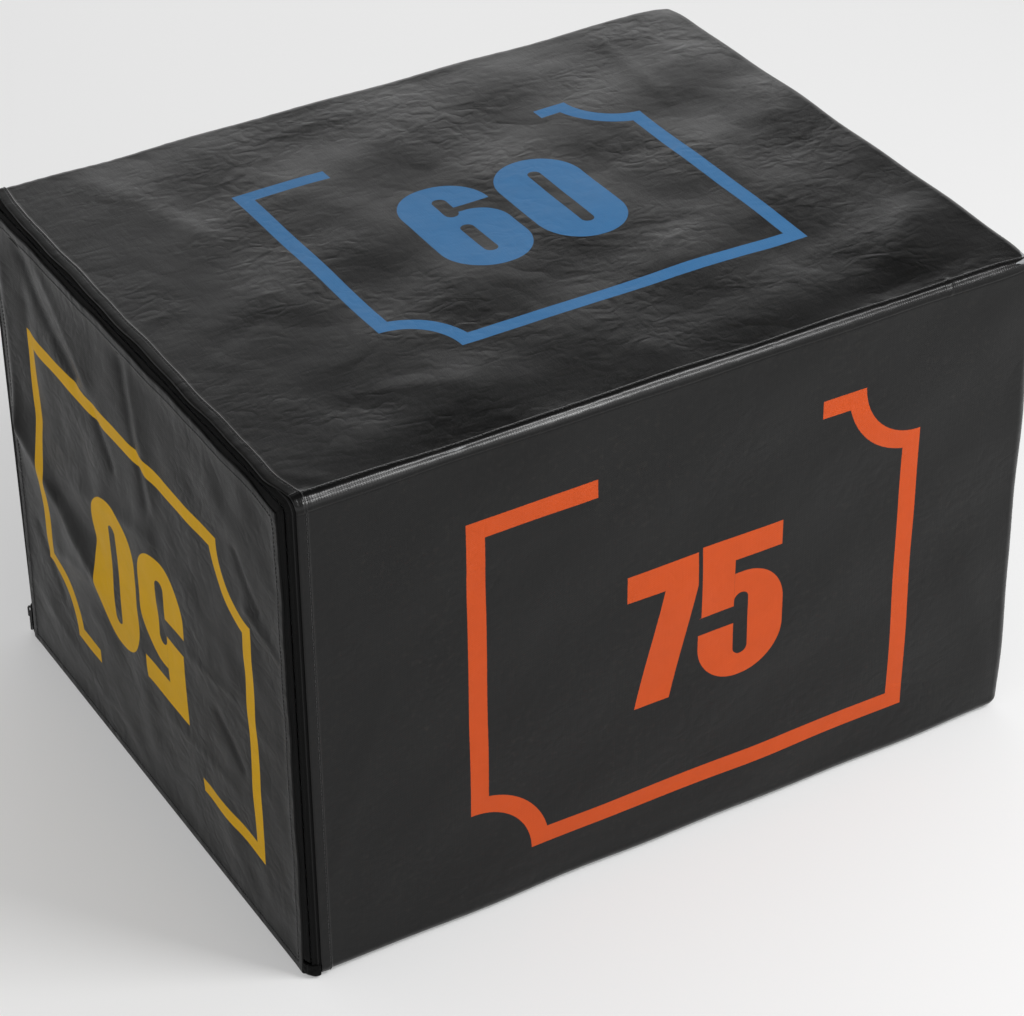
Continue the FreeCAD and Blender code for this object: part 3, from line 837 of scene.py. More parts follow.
def coated_cloth(name, crumple, shape=None, ink=None, tight=None, shine=FILM_SHINE):
    """Black PVC-coated cloth, more or less crumpled.

    A shape and an ink give it a print. Where it is pulled tight over an edge, the scrim stands out
    and the film is polished.
    """
    material, shader, blank = new_finish(name)
    flat, u, v = cut_map(blank)
    scrim = u.wave(SCRIM) * v.wave(SCRIM) * SCRIM_RISE
    slub = flat.stretched(1.0, 0.06).noise(1.8 * MM, 1.0) + flat.stretched(0.06, 1.0).noise(2.2 * MM, 1.0)
    pebble = flat.noise(1.4 * MM, 3.0)
    patch = flat.noise(95 * MM, 4.0)
    valley = abs(flat.noise(72 * MM, 1.0, 0.5))
    crest = abs(flat.stretched(1.0, 1.3).noise(34 * MM, 0.6, 0.6))
    handled = flat.noise(120 * MM, 1.0).between(-0.12, 0.16)
    crinkle = abs(flat.stretched(0.8, 1.0).noise(17 * MM, 1.6, 0.3))
    rub = flat.stretched(1.0, 1.6).noise(16 * MM, 2.0)
    dust = flat.noise(6 * MM, 2.0).between(0.0, 0.32) * patch.between(-0.25, 0.3)
    colour = (dust * 0.6 + rub.between(0.1, 0.4) * 0.35).tint(FILM_BLACK, FILM_DUSTY)
    rough = (FILM_ROUGH + patch * 0.20 + rub * 0.12 + pebble * 0.06) & LEAST_ROUGH
    if shape:
        wander = flat.noise(3 * MM, 2.0) * 0.5
        inside = (0.5 - (shape(u, v) + wander) / INK_SOFT).clipped()
        worn = flat.noise(1.1 * MM, 4.0).between(0.16, 0.34)
        shade = tuple(INK_SHADE * part for part in ink[:3]) + (1,)
        pigment = (flat.noise(22 * MM, 4.0) + 0.5).clipped().tint(shade, ink)
        cover = inside * (1 - worn * 0.35)
        colour = cover.node("Mix", {"data_type": "RGBA"}, {0: cover, 6: colour, 7: pigment}, 2)
        rough = rough + inside * INK_ROUGH
    if tight:
        scrim = scrim + tight(v) * u.wave(RIB) * RIB_RISE
        polish = tight(v) * (1 - u.between(*POLISH_FADES) * POLISH_LOST)
        feed(shader, Coat_Weight=polish * POLISH, Coat_Roughness=POLISH_ROUGH)
    folds = valley * 2.6 - crest * handled * 1.3 + crinkle * (handled + 0.5) * 1.6
    height = scrim + slub * 0.05 + pebble * 0.035 + folds * crumple
    feed(shader, Base_Color=colour, Roughness=rough.clipped(), Normal=bump(height))
    feed(shader, Specular_IOR_Level=shine)
    return material


ORANGE = (0.62, 0.078, 0.008, 1)
BLUE = (0.030, 0.144, 0.325, 1)
YELLOW = (0.79, 0.440, 0.009, 1)
RIDGE_DOWN = 5.0
RIDGE_ON_TOP = (4, 8)


def front_ridge(v):
    return v.between(TOP / MM - RIDGE_SEAM, TOP / MM - RIDGE_DOWN)


def top_ridge(v):
    return 1 - v.between(*RIDGE_ON_TOP)


plain_cloth = coated_cloth("coated_cloth", 0.5)
printed = {
    "front": coated_cloth("coated_cloth_orange_print", 0.30, front_print, ORANGE, front_ridge),
    "top": coated_cloth("coated_cloth_blue_print", 0.42, top_print, BLUE, top_ridge),
    "flap": coated_cloth("coated_cloth_yellow_print", 0.6, flap_print, YELLOW, shine=HANDLED_SHINE),
}


# %% Inner face of the cloth
def cloth_backing():
    """The open weave on the inside of the cover."""
    material, shader, blank = new_finish("cloth_backing")
    flat, u, v = cut_map(blank)
    weave = u.wave(1.3) * v.wave(1.3)
    fuzz = flat.noise(0.5 * MM, 3.0)
    stain = flat.noise(60 * MM, 4.0)
    colour = (0.5 + weave * 0.25 + fuzz * 0.5 + stain * 0.5).clipped().tint(grey(0.012), grey(0.045))
    feed(shader, Base_Color=colour, Roughness=(0.82 + fuzz * 0.2).clipped())
    feed(shader, Normal=bump(weave * 0.07 + fuzz * 0.05), Specular_IOR_Level=0.25)
    return material


backing = cloth_backing()
print("cloth finishes:", ", ".join(m.name for m in [plain_cloth, *printed.values(), backing]))

# %% [markdown]
# ## Sheets with two faces
# Every cloth piece is a grid with an outer and an inner face and a rim, so that it has a real thickness
# when the flap swings open. A Solidify modifier gives thickness too, but not a map for each face, so one
# function builds them all. It keeps two maps: `cut` holds the flat
# coordinates in metres, for weaves and prints, and the bake map lays the outer face over most of the unit
# square and the inner face over what is left.

# %% Build a two-faced sheet
BAKE_EDGE = 0.008


def bake_places(cut_places, inner_share):
    """Bake coordinates of the outer and inner faces, side by side, from flat coordinates."""
    low = cut_places.reshape(-1, 2).min(0)
    size = cut_places.reshape(-1, 2).max(0) - low
    unit = (cut_places - low) / size
    frame_part = 1 - 3 * BAKE_EDGE
    outer = BAKE_EDGE + unit * (1 - 2 * BAKE_EDGE, frame_part * (1 - inner_share))
    start = 2 * BAKE_EDGE + frame_part * (1 - inner_share)
    inner = (BAKE_EDGE, start) + unit * (1 - 2 * BAKE_EDGE, frame_part * inner_share)
    return outer, inner


def sheet_piece(name, outer, inner, cut_places, materials, inner_share=0.15):
    """A closed sheet from two grids of points; its first index runs right and its second up."""
    columns, rows = outer.shape[:2]
    count = columns * rows
    index = np.arange(count).reshape(columns, rows)
    quads = np.stack([index[:-1, :-1], index[1:, :-1], index[1:, 1:], index[:-1, 1:]], -1).reshape(-1, 4)
    border = np.concatenate([index[:-1, 0], index[-1, :-1], index[:0:-1, -1], index[0, :0:-1]])
    after = np.roll(border, -1)
    rim = np.stack([after, border, border + count, after + count], -1)
    faces = np.concatenate([quads, quads[:, ::-1] + count, rim])
    points = np.concatenate([outer.reshape(-1, 3), inner.reshape(-1, 3)])
    piece = add_object(name, points, faces.tolist(), *materials)
    mesh = piece.data
    inside = np.zeros(len(faces), np.int32)
    inside[len(quads):2 * len(quads)] = len(materials) - 1
    mesh.polygons.foreach_set("material_index", inside)
    mesh.polygons.foreach_set("use_smooth", np.ones(len(faces), bool))
    flat_uv = np.concatenate([cut_places.reshape(-1, 2)] * 2)
    bake_uv = np.concatenate([part.reshape(-1, 2) for part in bake_places(cut_places, inner_share)])
    loops = faces.ravel()
    rim_loops = loops.copy()
    rim_loops[8 * len(quads):] = rim[:, [0, 1, 1, 0]].ravel()
    for map_name, places in (("cut", flat_uv[loops]), ("OFBake", bake_uv[rim_loops])):
        uv_map = mesh.uv_layers.new(name=map_name)
        uv_map.uv.foreach_set("vector", places.ravel().astype(np.float32))
    return piece


# %% Grid lines over a cut piece
GRID_STEP = 6.5 * MM
CRUMPLED_STEP = 3.6 * MM
EDGE_LINES = np.array([
    0, 0.25, 0.6, 1.0, 1.5, 2.1, 2.8, 3.8, 5.0, 6.2, 7.0,
    7.6, 8.2, 8.8, 9.3, 9.8, 10.3, 11, 12.5, 15, 18.5, 23,
]) * MM
NIP_LINES = np.arange(-6, 6.5, 1.0) * MM
NIP_CLEAR = 8 * MM


def grid_lines(low, high, step, extra=()):
    """Grid lines from low to high, close together near both edges and at extra places."""
    start, end = low + EDGE_LINES[-1], high - EDGE_LINES[-1]
    middle = np.linspace(start, end, round((end - start) / step) + 1)
    for place in extra:
        near = place + NIP_LINES
        if start < near[0] and near[-1] < end:
            middle = np.concatenate([middle[np.abs(middle - place) > NIP_CLEAR], near])
    lines = np.concatenate([low + EDGE_LINES[:-1], np.sort(middle), high - EDGE_LINES[:-1]])
    return np.sort(lines)


def sew(name, piece_name, node, body, materials, inner_share=0.15, step=GRID_STEP):
    """Make one cut piece of the cover in place of its solid."""
    cut = cuts[name]
    nips = [u * MM - cut.side.half[0] for u in RIDGE_NIPS] if cut.nips else []
    lines = [grid_lines(cut.low[0], cut.high[0], step, nips), grid_lines(cut.low[1], cut.high[1], step)]
    s, t = np.meshgrid(*lines, indexing="ij")
    outer, out = cut.place(s, t)
    flat = np.stack([s + cut.side.half[0], t + cut.side.half[1]], -1)
    piece = sheet_piece(piece_name, outer, outer - CLOTH * out, flat, materials, inner_share)
    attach(piece, body)
    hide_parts(node)
    cut.size()
    print("%s: %d faces" % (piece_name, len(piece.data.polygons)))


# %% Sew the cover
sew("top", "top_cloth", "top_panel", "cover", [printed["top"], backing])
sew("front", "front_cloth", "front_panel", "cover", [printed["front"], backing])
sew("back", "back_cloth", "back_panel", "cover", [plain_cloth, backing])
sew("right_end", "right_end_cloth", "right_end_panel", "cover", [plain_cloth, backing])
sew("base", "base_cloth", "base_panel", "cover", [plain_cloth, backing])
sew("flap", "flap_cloth", "zip_flap_panel", "flap", [printed["flap"], backing], 0.35, CRUMPLED_STEP)

# %% [markdown]
# ## The sewn hinge
# The flap hangs on the base by its lower edge. On the real cover the two are sewn through a strip of the
# same cloth. A strip that stayed on one side would tear away when the flap opens; here the binding inside
# the fold is a fixed piece, attached to neither the cover nor the flap.

# %% Base strip and binding
STRIP_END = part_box("base_panel")[0].x
STRIP_LAP = 3 * MM
STRIP_LINES = 8
STRIP_STEPS = 90
HINGE_HALF = -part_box("zip_flap_panel")[0].y


def run_lengths(points):
    """Lengths along a line of points, from its start."""
    return np.concatenate([[0], np.cumsum(np.linalg.norm(np.diff(points, axis=0), axis=1))])


def strip_grid(profile, half_width, steps):
    """A strip along Y from a profile of (x, z) points, and its flat coordinates."""
    profile = np.array(profile)
    y = np.linspace(half_width, -half_width, steps + 1)
    points = np.zeros((steps + 1, len(profile), 3))
    points[..., 0] = profile[:, 0]
    points[..., 1] = y[:, None]
    points[..., 2] = profile[:, 1]
    return points, np.stack(np.meshgrid(half_width - y, run_lengths(profile), indexing="ij"), -1)


base_line = np.linspace(HEM_X + STRIP_LAP, STRIP_END, STRIP_LINES)
strip_low, strip_flat = strip_grid([(x, 0.0) for x in base_line], HINGE_HALF, STRIP_STEPS)
strip_high = strip_low + (0, 0, CLOTH)
base_strip = sheet_piece("hinge_base_strip", strip_low, strip_high, strip_flat, [plain_cloth, backing])
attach(base_strip, "cover")

BINDING = 0.6 * MM
BINDING_LEG = 11 * MM
BINDING_ROUND = 1.5 * MM
BINDING_CLEAR = 0.1 * MM
fold_x, fold_z = LEFT + CLOTH + BINDING_CLEAR, CLOTH + BINDING_CLEAR
flat_leg = [(fold_x + x, fold_z) for x in np.linspace(BINDING_LEG, BINDING_ROUND, STRIP_LINES)]
round_leg = [(fold_x + (1 - math.sin(a)) * BINDING_ROUND, fold_z + (1 - math.cos(a)) * BINDING_ROUND)
             for a in np.linspace(0.2, 1.4, 6)]
tall_start = BINDING_ROUND + BINDING_CLEAR
tall_leg = [(fold_x, fold_z + z) for z in np.linspace(tall_start, BINDING_LEG, STRIP_LINES)]
binding_out, binding_flat = strip_grid(flat_leg + round_leg + tall_leg, HINGE_HALF, STRIP_STEPS)
lean = np.clip((binding_out[..., 2] - fold_z) / BINDING_ROUND, 0, 1) * math.pi / 2
binding_in = binding_out + BINDING * np.stack([np.sin(lean), 0 * lean, np.cos(lean)], -1)
binding = sheet_piece("hinge_binding", binding_out, binding_in, binding_flat, [backing])
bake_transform(binding)
print("hinge strip %.0f mm wide, binding %.0f mm" % ((HEM_X - STRIP_END) / MM, 2 * BINDING_LEG / MM))

# %% [markdown]
# ## The zip
# The zip is a U on the rounded edges of the left end, with its coil on the inner side so that only the
# woven tapes show. A sweep along a curve would twist in the corners. Instead each place on the zip has
# a run along the U and a distance across it, and both are laid on the rounded edge by a formula.

# %% Places on the zip
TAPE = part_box("shell_zip_tape")
TAPE_FOOT = TAPE[0].z
UNDERLAP = TAPE[1].x - HEM_X
TAPE_RADIUS = ROUND - CLOTH
AXIS_Y = FRONT + ROUND
AXIS_Z = TOP - ROUND
CORNER_STEPS = 12
TURN_LEAST = 0.3 * MM
RUN_STEP = 5 * MM


def zip_stations(foot, rear_foot=None):
    """Axis points (y, z), outward directions and run lengths along the U, front foot first."""
    rear_foot = foot if rear_foot is None else rear_foot
    up = np.linspace(foot, AXIS_Z, round((AXIS_Z - foot) / RUN_STEP) + 1)
    over = np.linspace(AXIS_Y, -AXIS_Y, round(-2 * AXIS_Y / RUN_STEP) + 1)
    down = np.linspace(AXIS_Z, rear_foot, round((AXIS_Z - rear_foot) / RUN_STEP) + 1)
    turn = np.linspace(0, math.pi / 2, CORNER_STEPS + 2)[1:-1]
    legs = [
        ((0 * up + AXIS_Y, up), (0 * up - 1, 0 * up)),
        ((0 * turn + AXIS_Y, 0 * turn + AXIS_Z), (-np.cos(turn), np.sin(turn))),
        ((over, 0 * over + AXIS_Z), (0 * over, 0 * over + 1)),
        ((0 * turn - AXIS_Y, 0 * turn + AXIS_Z), (np.sin(turn), np.cos(turn))),
        ((0 * down - AXIS_Y, down), (0 * down + 1, 0 * down)),
    ]
    axis, outward = (np.concatenate([np.stack(leg[part], -1) for leg in legs]) for part in (0, 1))
    return axis, outward, run_lengths(axis + outward * ROUND * math.sin(math.pi / 4))


def on_zip(across, axis, outward, radius):
    """Points at distances across the zip, from the flap's side to the shell's, and outward directions."""
    quarter = radius * math.pi / 4
    angle = np.clip(across, -quarter, quarter) / radius + math.pi / 4
    under_shell = np.maximum(across - quarter, 0)
    under_flap = np.maximum(-quarter - across, 0)
    drawn_y = np.clip(axis[:, 0], AXIS_Y + under_flap[:, None], -AXIS_Y - under_flap[:, None])
    drawn_z = np.minimum(axis[:, 1], AXIS_Z - under_flap[:, None])
    reach = np.maximum(radius * np.sin(angle), TURN_LEAST)[:, None, None] * outward
    points = np.zeros((len(across), len(axis), 3))
    points[..., 0] = (HEM_X - radius * np.cos(angle) + under_shell)[:, None]
    points[..., 1] = drawn_y + reach[..., 0]
    points[..., 2] = drawn_z + reach[..., 1]
    out = np.zeros_like(points)
    out[..., 0] = -np.cos(angle)[:, None]
    out[..., 1:] = np.sin(angle)[:, None, None] * outward
    return points, out


print("zip runs %.2f m round the flap" % zip_stations(TAPE_FOOT)[2][-1])


# %% [markdown]
# The tapes are woven in a fine herringbone and are dull beside the vinyl. Each has a thicker edge beside
# the chain, where the coil is sewn on, and the shell's tape a raised cord, which is also painted lighter: a
# painted highlight that shows as a thin line.


# %% Woven tape
HERRINGBONE = 1.3
HERRINGBONE_SLANT = 1.2
TAPE_RIB = 1.1
SEWN_AT = 2.6
SEWN_STITCH = 2.4
CORD_AT = 6.0


def woven_tape():
    """Black herringbone tape."""
    material, shader, blank = new_finish("woven_tape")
    flat, across, along = cut_map(blank)
    rib = (along + across.math("PINGPONG", HERRINGBONE) * HERRINGBONE_SLANT).wave(TAPE_RIB)
    column = across.wave(HERRINGBONE)
    fuzz = flat.noise(0.5 * MM, 3.0)
    row = (0.7 - abs(abs(across) - SEWN_AT)).between(0.0, 0.5)
    sewn = row * along.wave(SEWN_STITCH).between(-0.4, 0.4)
    # The cord is raised in the mesh and also painted lighter in colour here, a painted highlight along its
    # line.
    cord = (0.9 - abs(across - CORD_AT)).between(0.0, 0.7)
    tone = 0.30 + rib * 0.25 + fuzz * 0.6 + sewn * 0.4 + cord * 1.2
    colour = (tone * 0.4).clipped().tint(grey(0.002), grey(0.024))
    feed(shader, Base_Color=colour, Roughness=(0.72 + fuzz * 0.25).clipped())
    height = rib * 0.05 + column * 0.02 + fuzz * 0.04 + sewn * 0.12
    feed(shader, Normal=bump(height), Specular_IOR_Level=0.08)
    return material


tape_finish = woven_tape()
CORD_RISE = 0.55
CORD_HALF = 0.55
TAPE_EDGE_AT = 1.4
TAPE_EDGE_RISE = 0.35
TAPE_EDGE_HALF = 0.8
TAPE_THICK = 0.8 * MM
CHAIN_HALF = 0.6 * MM
QUARTER = TAPE_RADIUS * math.pi / 4


def tape_relief(across):
    """Raised edge beside the chain and, on the shell's side, the cord; in metres."""
    w = across / MM
    edge = TAPE_EDGE_RISE * np.exp(-(((np.abs(w) - TAPE_EDGE_AT) / TAPE_EDGE_HALF) ** 2))
    cord = CORD_RISE * np.exp(-(((w - CORD_AT) / CORD_HALF) ** 2))
    return (edge + cord) * MM


def tape_piece(name, across, stations, node, body):
    """One tape of the zip."""
    axis, outward, run = stations
    points, out = on_zip(across, axis, outward, TAPE_RADIUS)
    outer = points + tape_relief(across)[:, None, None] * out
    flat = np.stack(np.meshgrid(across, run, indexing="ij"), -1)
    piece = sheet_piece(name, outer, points - TAPE_THICK * out, flat, [tape_finish], inner_share=0.45)
    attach(piece, body)
    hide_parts(node)
    print("%s: %d faces" % (name, len(piece.data.polygons)))


# Columns across the tapes, closer together where the tapes are raised.
shell_across = np.concatenate([
    np.linspace(CHAIN_HALF, 3.2 * MM, 9), np.linspace(4.2 * MM, 7.8 * MM, 13),
    np.linspace(QUARTER, QUARTER + UNDERLAP, 5),
])
flap_across = np.concatenate([
    np.linspace(-QUARTER - UNDERLAP, -QUARTER, 5), np.linspace(-7.4 * MM, -4.0 * MM, 4),
    np.linspace(-3.2 * MM, -CHAIN_HALF, 9),
])
FLAP_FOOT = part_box("flap_zip_tape")[0].z
SLIDER_CLEAR = 4 * MM
FLAP_REAR_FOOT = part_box("zip_slider")[1].z + SLIDER_CLEAR
shell_stations = zip_stations(TAPE_FOOT)
flap_stations = zip_stations(FLAP_FOOT, FLAP_REAR_FOOT)
tape_piece("shell_tape_weave", shell_across, shell_stations, "shell_zip_tape", "cover")
tape_piece("flap_tape_weave", flap_across, flap_stations, "flap_zip_tape", "flap")

# %% [markdown]
# The chain is two nylon coils behind the tapes. Each loop is a turn of monofilament, so the piece is one
# long helix, flattened to the section that its solid has. A tube is swept along it with a fixed outward
# direction, because a free frame would roll along two metres of thread.


# %% Nylon coils
def tube(centre, along, out, radius, sides):
    """Vertices and quads of a tube round each row of points; rows are separate tubes."""
    across = np.cross(along, out)
    turn = np.linspace(0, 2 * math.pi, sides, endpoint=False)
    ring = np.cos(turn)[:, None] * across[..., None, :] + np.sin(turn)[:, None] * out[..., None, :]
    points = centre[..., None, :] + radius[..., None, None] * ring
    rows, length = centre.shape[:2]
    index = np.arange(rows * length * sides).reshape(rows, length, sides)
    following = np.roll(index, -1, axis=2)
    quads = np.stack([index[:, :-1], following[:, :-1], following[:, 1:], index[:, 1:]], -1).reshape(-1, 4)
    caps = [index[:, 0, ::-1].tolist(), index[:, -1].tolist()]
    return points.reshape(-1, 3), quads.tolist() + caps[0] + caps[1], index


def tube_piece(name, centre, along, out, radius, sides, material):
    """A mesh of tubes, with the place along and round each tube kept as flat coordinates."""
    points, faces, index = tube(centre, along, out, radius, sides)
    piece = add_object(name, points, faces, material)
    mesh = piece.data
    mesh.polygons.foreach_set("use_smooth", np.ones(len(faces), bool))
    steps = np.linalg.norm(np.diff(centre, axis=1), axis=-1)
    run = np.concatenate([np.zeros((len(centre), 1)), np.cumsum(steps, axis=1)], axis=1)
    flat = np.zeros((*index.shape, 2))
    flat[..., 0] = run[..., None]
    flat[..., 1] = np.arange(sides) / sides
    loops = np.zeros(len(mesh.loops), np.int32)
    mesh.loops.foreach_get("vertex_index", loops)
    uv = flat.reshape(-1, 2)[loops].ravel().astype(np.float32)
    mesh.uv_layers.new(name="cut").uv.foreach_set("vector", uv)
    return piece


def nylon():
    """Glossy black monofilament with dull rubbed crowns."""
    material, shader, blank = new_finish("nylon_coil")
    place = blank.node("TexCoord", {}, {}, "Object")
    rub = place.noise(2.5 * MM, 3.0)
    colour = (0.5 + rub).clipped().tint(grey(0.010), grey(0.034))
    feed(shader, Base_Color=colour, Roughness=(0.34 + rub * 0.3).clipped())
    feed(shader, Normal=bump(place.noise(0.4 * MM) * 0.02), Specular_IOR_Level=0.5)
    return material


nylon_finish = nylon()
COIL_PITCH = 1.9 * MM
LOOP_POINTS = 7
COIL_WIDE = 1.5 * MM
COIL_DEEP = 1.0 * MM
FILAMENT = 0.42 * MM
FILAMENT_SIDES = 4
COIL_CLEAR = 0.1 * MM
COIL_DEPTH = CLOTH + TAPE_THICK + COIL_CLEAR + COIL_DEEP
COIL_OFF = CHAIN_HALF + COIL_WIDE


def coil_piece(name, sign, stations, node, body):
    """One half of the chain, a flattened helix along the zip."""
    axis, outward, run = stations
    loops = int(run[-1] / COIL_PITCH)
    q = np.linspace(0, run[-1], loops * LOOP_POINTS + 1)
    axis_at = np.stack([np.interp(q, run, axis[:, i]) for i in (0, 1)], -1)
    out_at = unit(np.stack([np.interp(q, run, outward[:, i]) for i in (0, 1)], -1))
    phase = np.linspace(0, 2 * math.pi * loops, len(q))
    angle = math.pi / 4 + sign * COIL_OFF / (ROUND - COIL_DEPTH)
    deep = (COIL_DEEP - FILAMENT) * np.sin(phase)
    wide = (COIL_WIDE - FILAMENT) * np.cos(phase)
    reach = (ROUND - COIL_DEPTH) + deep
    x = HEM_X - reach * math.cos(angle) + wide * math.sin(angle)
    level_out = reach * math.sin(angle) + wide * math.cos(angle)
    centre = np.column_stack([x, axis_at + level_out[:, None] * out_at])[None]
    along = unit(np.gradient(centre, axis=1))
    out = np.column_stack([np.full(len(q), -math.cos(angle)), math.sin(angle) * out_at])[None]
    out = unit(out - (out * along).sum(-1, keepdims=True) * along)
    radius = np.full(centre.shape[:2], FILAMENT)
    piece = tube_piece(name, centre, along, out, radius, FILAMENT_SIDES, nylon_finish)
    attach(piece, body)
    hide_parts(node)
    print("%s: %d loops" % (name, loops))


coil_piece("shell_coil_loops", 1, shell_stations, "shell_zip_coil", "cover")
coil_piece("flap_coil_loops", -1, flap_stations, "flap_zip_coil", "flap")

# %% [markdown]
# The slider and its pull tab are small castings with a black lacquer, and their solids already have the
# right shape. They keep their meshes and get a finish: lacquer that is chipped to bare zinc in places.


# %% Lacquered slider
def lacquer():
    """Black lacquer over zinc, with small chips."""
    material, shader, blank = new_finish("lacquered_zinc")
    place = blank.node("TexCoord", {}, {}, "Object")
    chip = place.noise(1.1 * MM, 4.0).between(0.17, 0.21)
    peel = place.noise(0.5 * MM, 2.0)
    feed(shader, Base_Color=chip.tint(grey(0.012), (0.42, 0.41, 0.40, 1)), Metallic=chip)
    feed(shader, Roughness=(0.30 + peel * 0.2 + chip * 0.15).clipped())
    feed(shader, Normal=bump(peel * 0.015 - chip * 0.02), Specular_IOR_Level=0.5)
    return material


lacquer_finish = lacquer()
for node in ("zip_slider", "zip_pull_tab"):
    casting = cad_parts[node]
    casting.data.materials.clear()
    casting.data.materials.append(lacquer_finish)
    print(node, "has", len(casting.data.polygons), "faces")

# %% [markdown]
# ## End tabs
# Each bottom end of the zip is closed by a scrap of cloth folded over the tape ends and sewn through. It
# shows as a small black lump in the corner. A ball would look like a foot, so the lump follows the rounded
# edge and only its lower rim is turned in.

# %% Folded tabs
TAB_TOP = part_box("zip_end_tab_front")[1].z
TAB_THICK = 2.2 * MM
TAB_PROUD = 0.4 * MM
TAB_TURN = 6 * MM
TAB_ROLL = 1 * MM
TAB_LIP = 0.6 * MM
TAB_WALL = 1.4 * MM
TAB_SOLE = 0.2 * MM
TAB_WRINKLE = 0.25 * MM
TAB_RISE = (-0.4 * MM, 1.2 * MM)
TAB_ANGLES = np.radians(np.linspace(4, 86, 25))


def tab_profile():
    """(depth below the outer face, height) points from the top of the tab round its lower rim."""
    top_roll = [(TAB_PROUD * (1 - math.sin(a)), TAB_TOP + TAB_LIP - (1 - math.cos(a)) * TAB_ROLL)
                for a in np.linspace(0, math.pi / 2, 6)]
    wall = [(0.0, z) for z in np.linspace(TAB_TOP - TAB_WALL, TAB_TURN + TAB_ROLL, 7)]
    turn = [(TAB_TURN * (1 - math.cos(a)), TAB_TURN * (1 - math.sin(a)) + TAB_SOLE)
            for a in np.linspace(0, math.pi / 2, 9)]
    return np.array(top_roll + wall + turn)


def tab_piece(name, front, node):
    """A folded tab round one bottom corner."""
    profile = tab_profile()
    angle = TAB_ANGLES if front else math.pi / 2 - TAB_ANGLES
    depth = profile[:, 0]
    wrinkle = TAB_WRINKLE * np.sin(7 * angle)[:, None] * np.sin(profile[:, 1] / MM * 0.9)
    radius = ROUND + TAB_PROUD - depth + wrinkle
    sign = -1 if front else 1
    outer = np.zeros((len(angle), len(depth), 3))
    outer[..., 0] = HEM_X - radius * np.cos(angle)[:, None]
    outer[..., 1] = sign * (-AXIS_Y + radius * np.sin(angle)[:, None])
    outer[..., 2] = profile[:, 1]
    inner = outer.copy()
    inner[..., 0] += TAB_THICK * np.cos(angle)[:, None]
    inner[..., 1] -= sign * TAB_THICK * np.sin(angle)[:, None]
    inner[..., 2] += np.linspace(*TAB_RISE, len(depth))
    flat = np.stack(np.meshgrid(angle * ROUND, profile[:, 1], indexing="ij"), -1)
    outer, inner, flat = (part[:, ::-1] for part in (outer, inner, flat))
    piece = sheet_piece(name, outer, inner, flat, [tape_finish])
    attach(piece, "cover")
    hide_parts(node)
    print("%s: %d faces" % (name, len(piece.data.polygons)))


tab_piece("front_end_tab_fold", True, "zip_end_tab_front")
tab_piece("rear_end_tab_fold", False, "zip_end_tab_rear")

# %% [markdown]
# ## Stitches
# Thread is what the eye checks first on sewn goods. A bump line blurs close to, so every stitch is a
# short bent tube that dives into the cloth at both ends. They sit in the dents that the finishes left.

# %% Thread
STITCH = 4.2 * MM
STITCH_SHARE = 0.80
THREAD = 0.34 * MM
THREAD_SIDES = 6
THREAD_ARC = np.array([(-0.5, -0.45), (-0.40, 0.10), (-0.2, 0.34), (0.2, 0.34), (0.40, 0.10), (0.5, -0.45)])


def sewing_thread():
    """Black two-ply polyester thread."""
    material, shader, blank = new_finish("sewing_thread")
    flat = blank.node("UVMap", {"uv_map": "cut"})
    ply = (flat.part(0) / MM * 1.4 + flat.part(1) * 2.0).wave(1.0)
    lint = blank.node("TexCoord", {}, {}, "Object").noise(0.7 * MM, 3.0)
    colour = (0.5 + ply * 0.3 + lint * 0.5).clipped().tint(grey(0.012), grey(0.060))
    feed(shader, Base_Color=colour, Roughness=(0.42 + lint * 0.2).clipped())
    feed(shader, Normal=bump(ply * 0.05), Specular_IOR_Level=0.5)
    return material


thread_finish = sewing_thread()


def stitch_row(cut, edge):
    """Starts, ends and outward directions of the stitches along one edge of a cut piece."""
    inset = STITCH_LINE * MM
    low = np.array(cut.low) + inset
    high = np.array(cut.high) - inset
    runs_up = edge in (0, 1)
    first, last = (low[1], high[1]) if runs_up else (low[0], high[0])
    count = int((last - first) / STITCH)
    starts = first + np.arange(count) * (last - first) / count
    ends = starts + STITCH_SHARE * (last - first) / count
    fixed = np.full(count, [low[0], high[0], low[1], high[1]][edge])
    begin, stop = ((fixed, starts), (fixed, ends)) if runs_up else ((starts, fixed), (ends, fixed))
    begin_points, out = cut.place(*begin)
    return begin_points, cut.place(*stop)[0], out


def stitches(name, rows, body):
    """All the stitches of some rows as one piece."""
    begin, stop, out = (np.concatenate(part) for part in zip(*(stitch_row(*row) for row in rows)))
    along = stop - begin
    centre = (begin + stop)[:, None] / 2 + THREAD_ARC[:, 0][:, None] * along[:, None]
    centre = centre + (THREAD_ARC[:, 1] * MM)[:, None] * out[:, None]
    shape = centre.shape
    along, out = (np.broadcast_to(part[:, None], shape) for part in (unit(along), out))
    radius = np.full(shape[:2], THREAD)
    piece = tube_piece(name, centre, along, out, radius, THREAD_SIDES, thread_finish)
    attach(piece, body)
    print("%s: %d stitches" % (name, len(begin)))


cover_rows = [(cuts["top"], 0), (cuts["top"], 2), (cuts["front"], 0), (cuts["back"], 1)]
stitches("cover_stitches", cover_rows, "cover")
stitches("flap_stitches", [(cuts["flap"], edge) for edge in (0, 1, 2, 3)], "flap")

# %% [markdown]
# ## The foam core
# Ten boards of foam are glued into one block. They show only when the flap is open, as cut edges with fine
# cells, saw marks and thin glue lines between the boards. A plain box with lines on it would look printed,
# so each board is a stack of slightly uneven outlines, drawn in at its faces, and the joints are grooves.


# %% Cut foam
FOAM_CELL = 2.2 * MM
SAW_MARK = 3.1
FOAM_DARK = (0.20, 0.205, 0.21, 1)
FOAM_LIGHT = (0.40, 0.41, 0.42, 1)


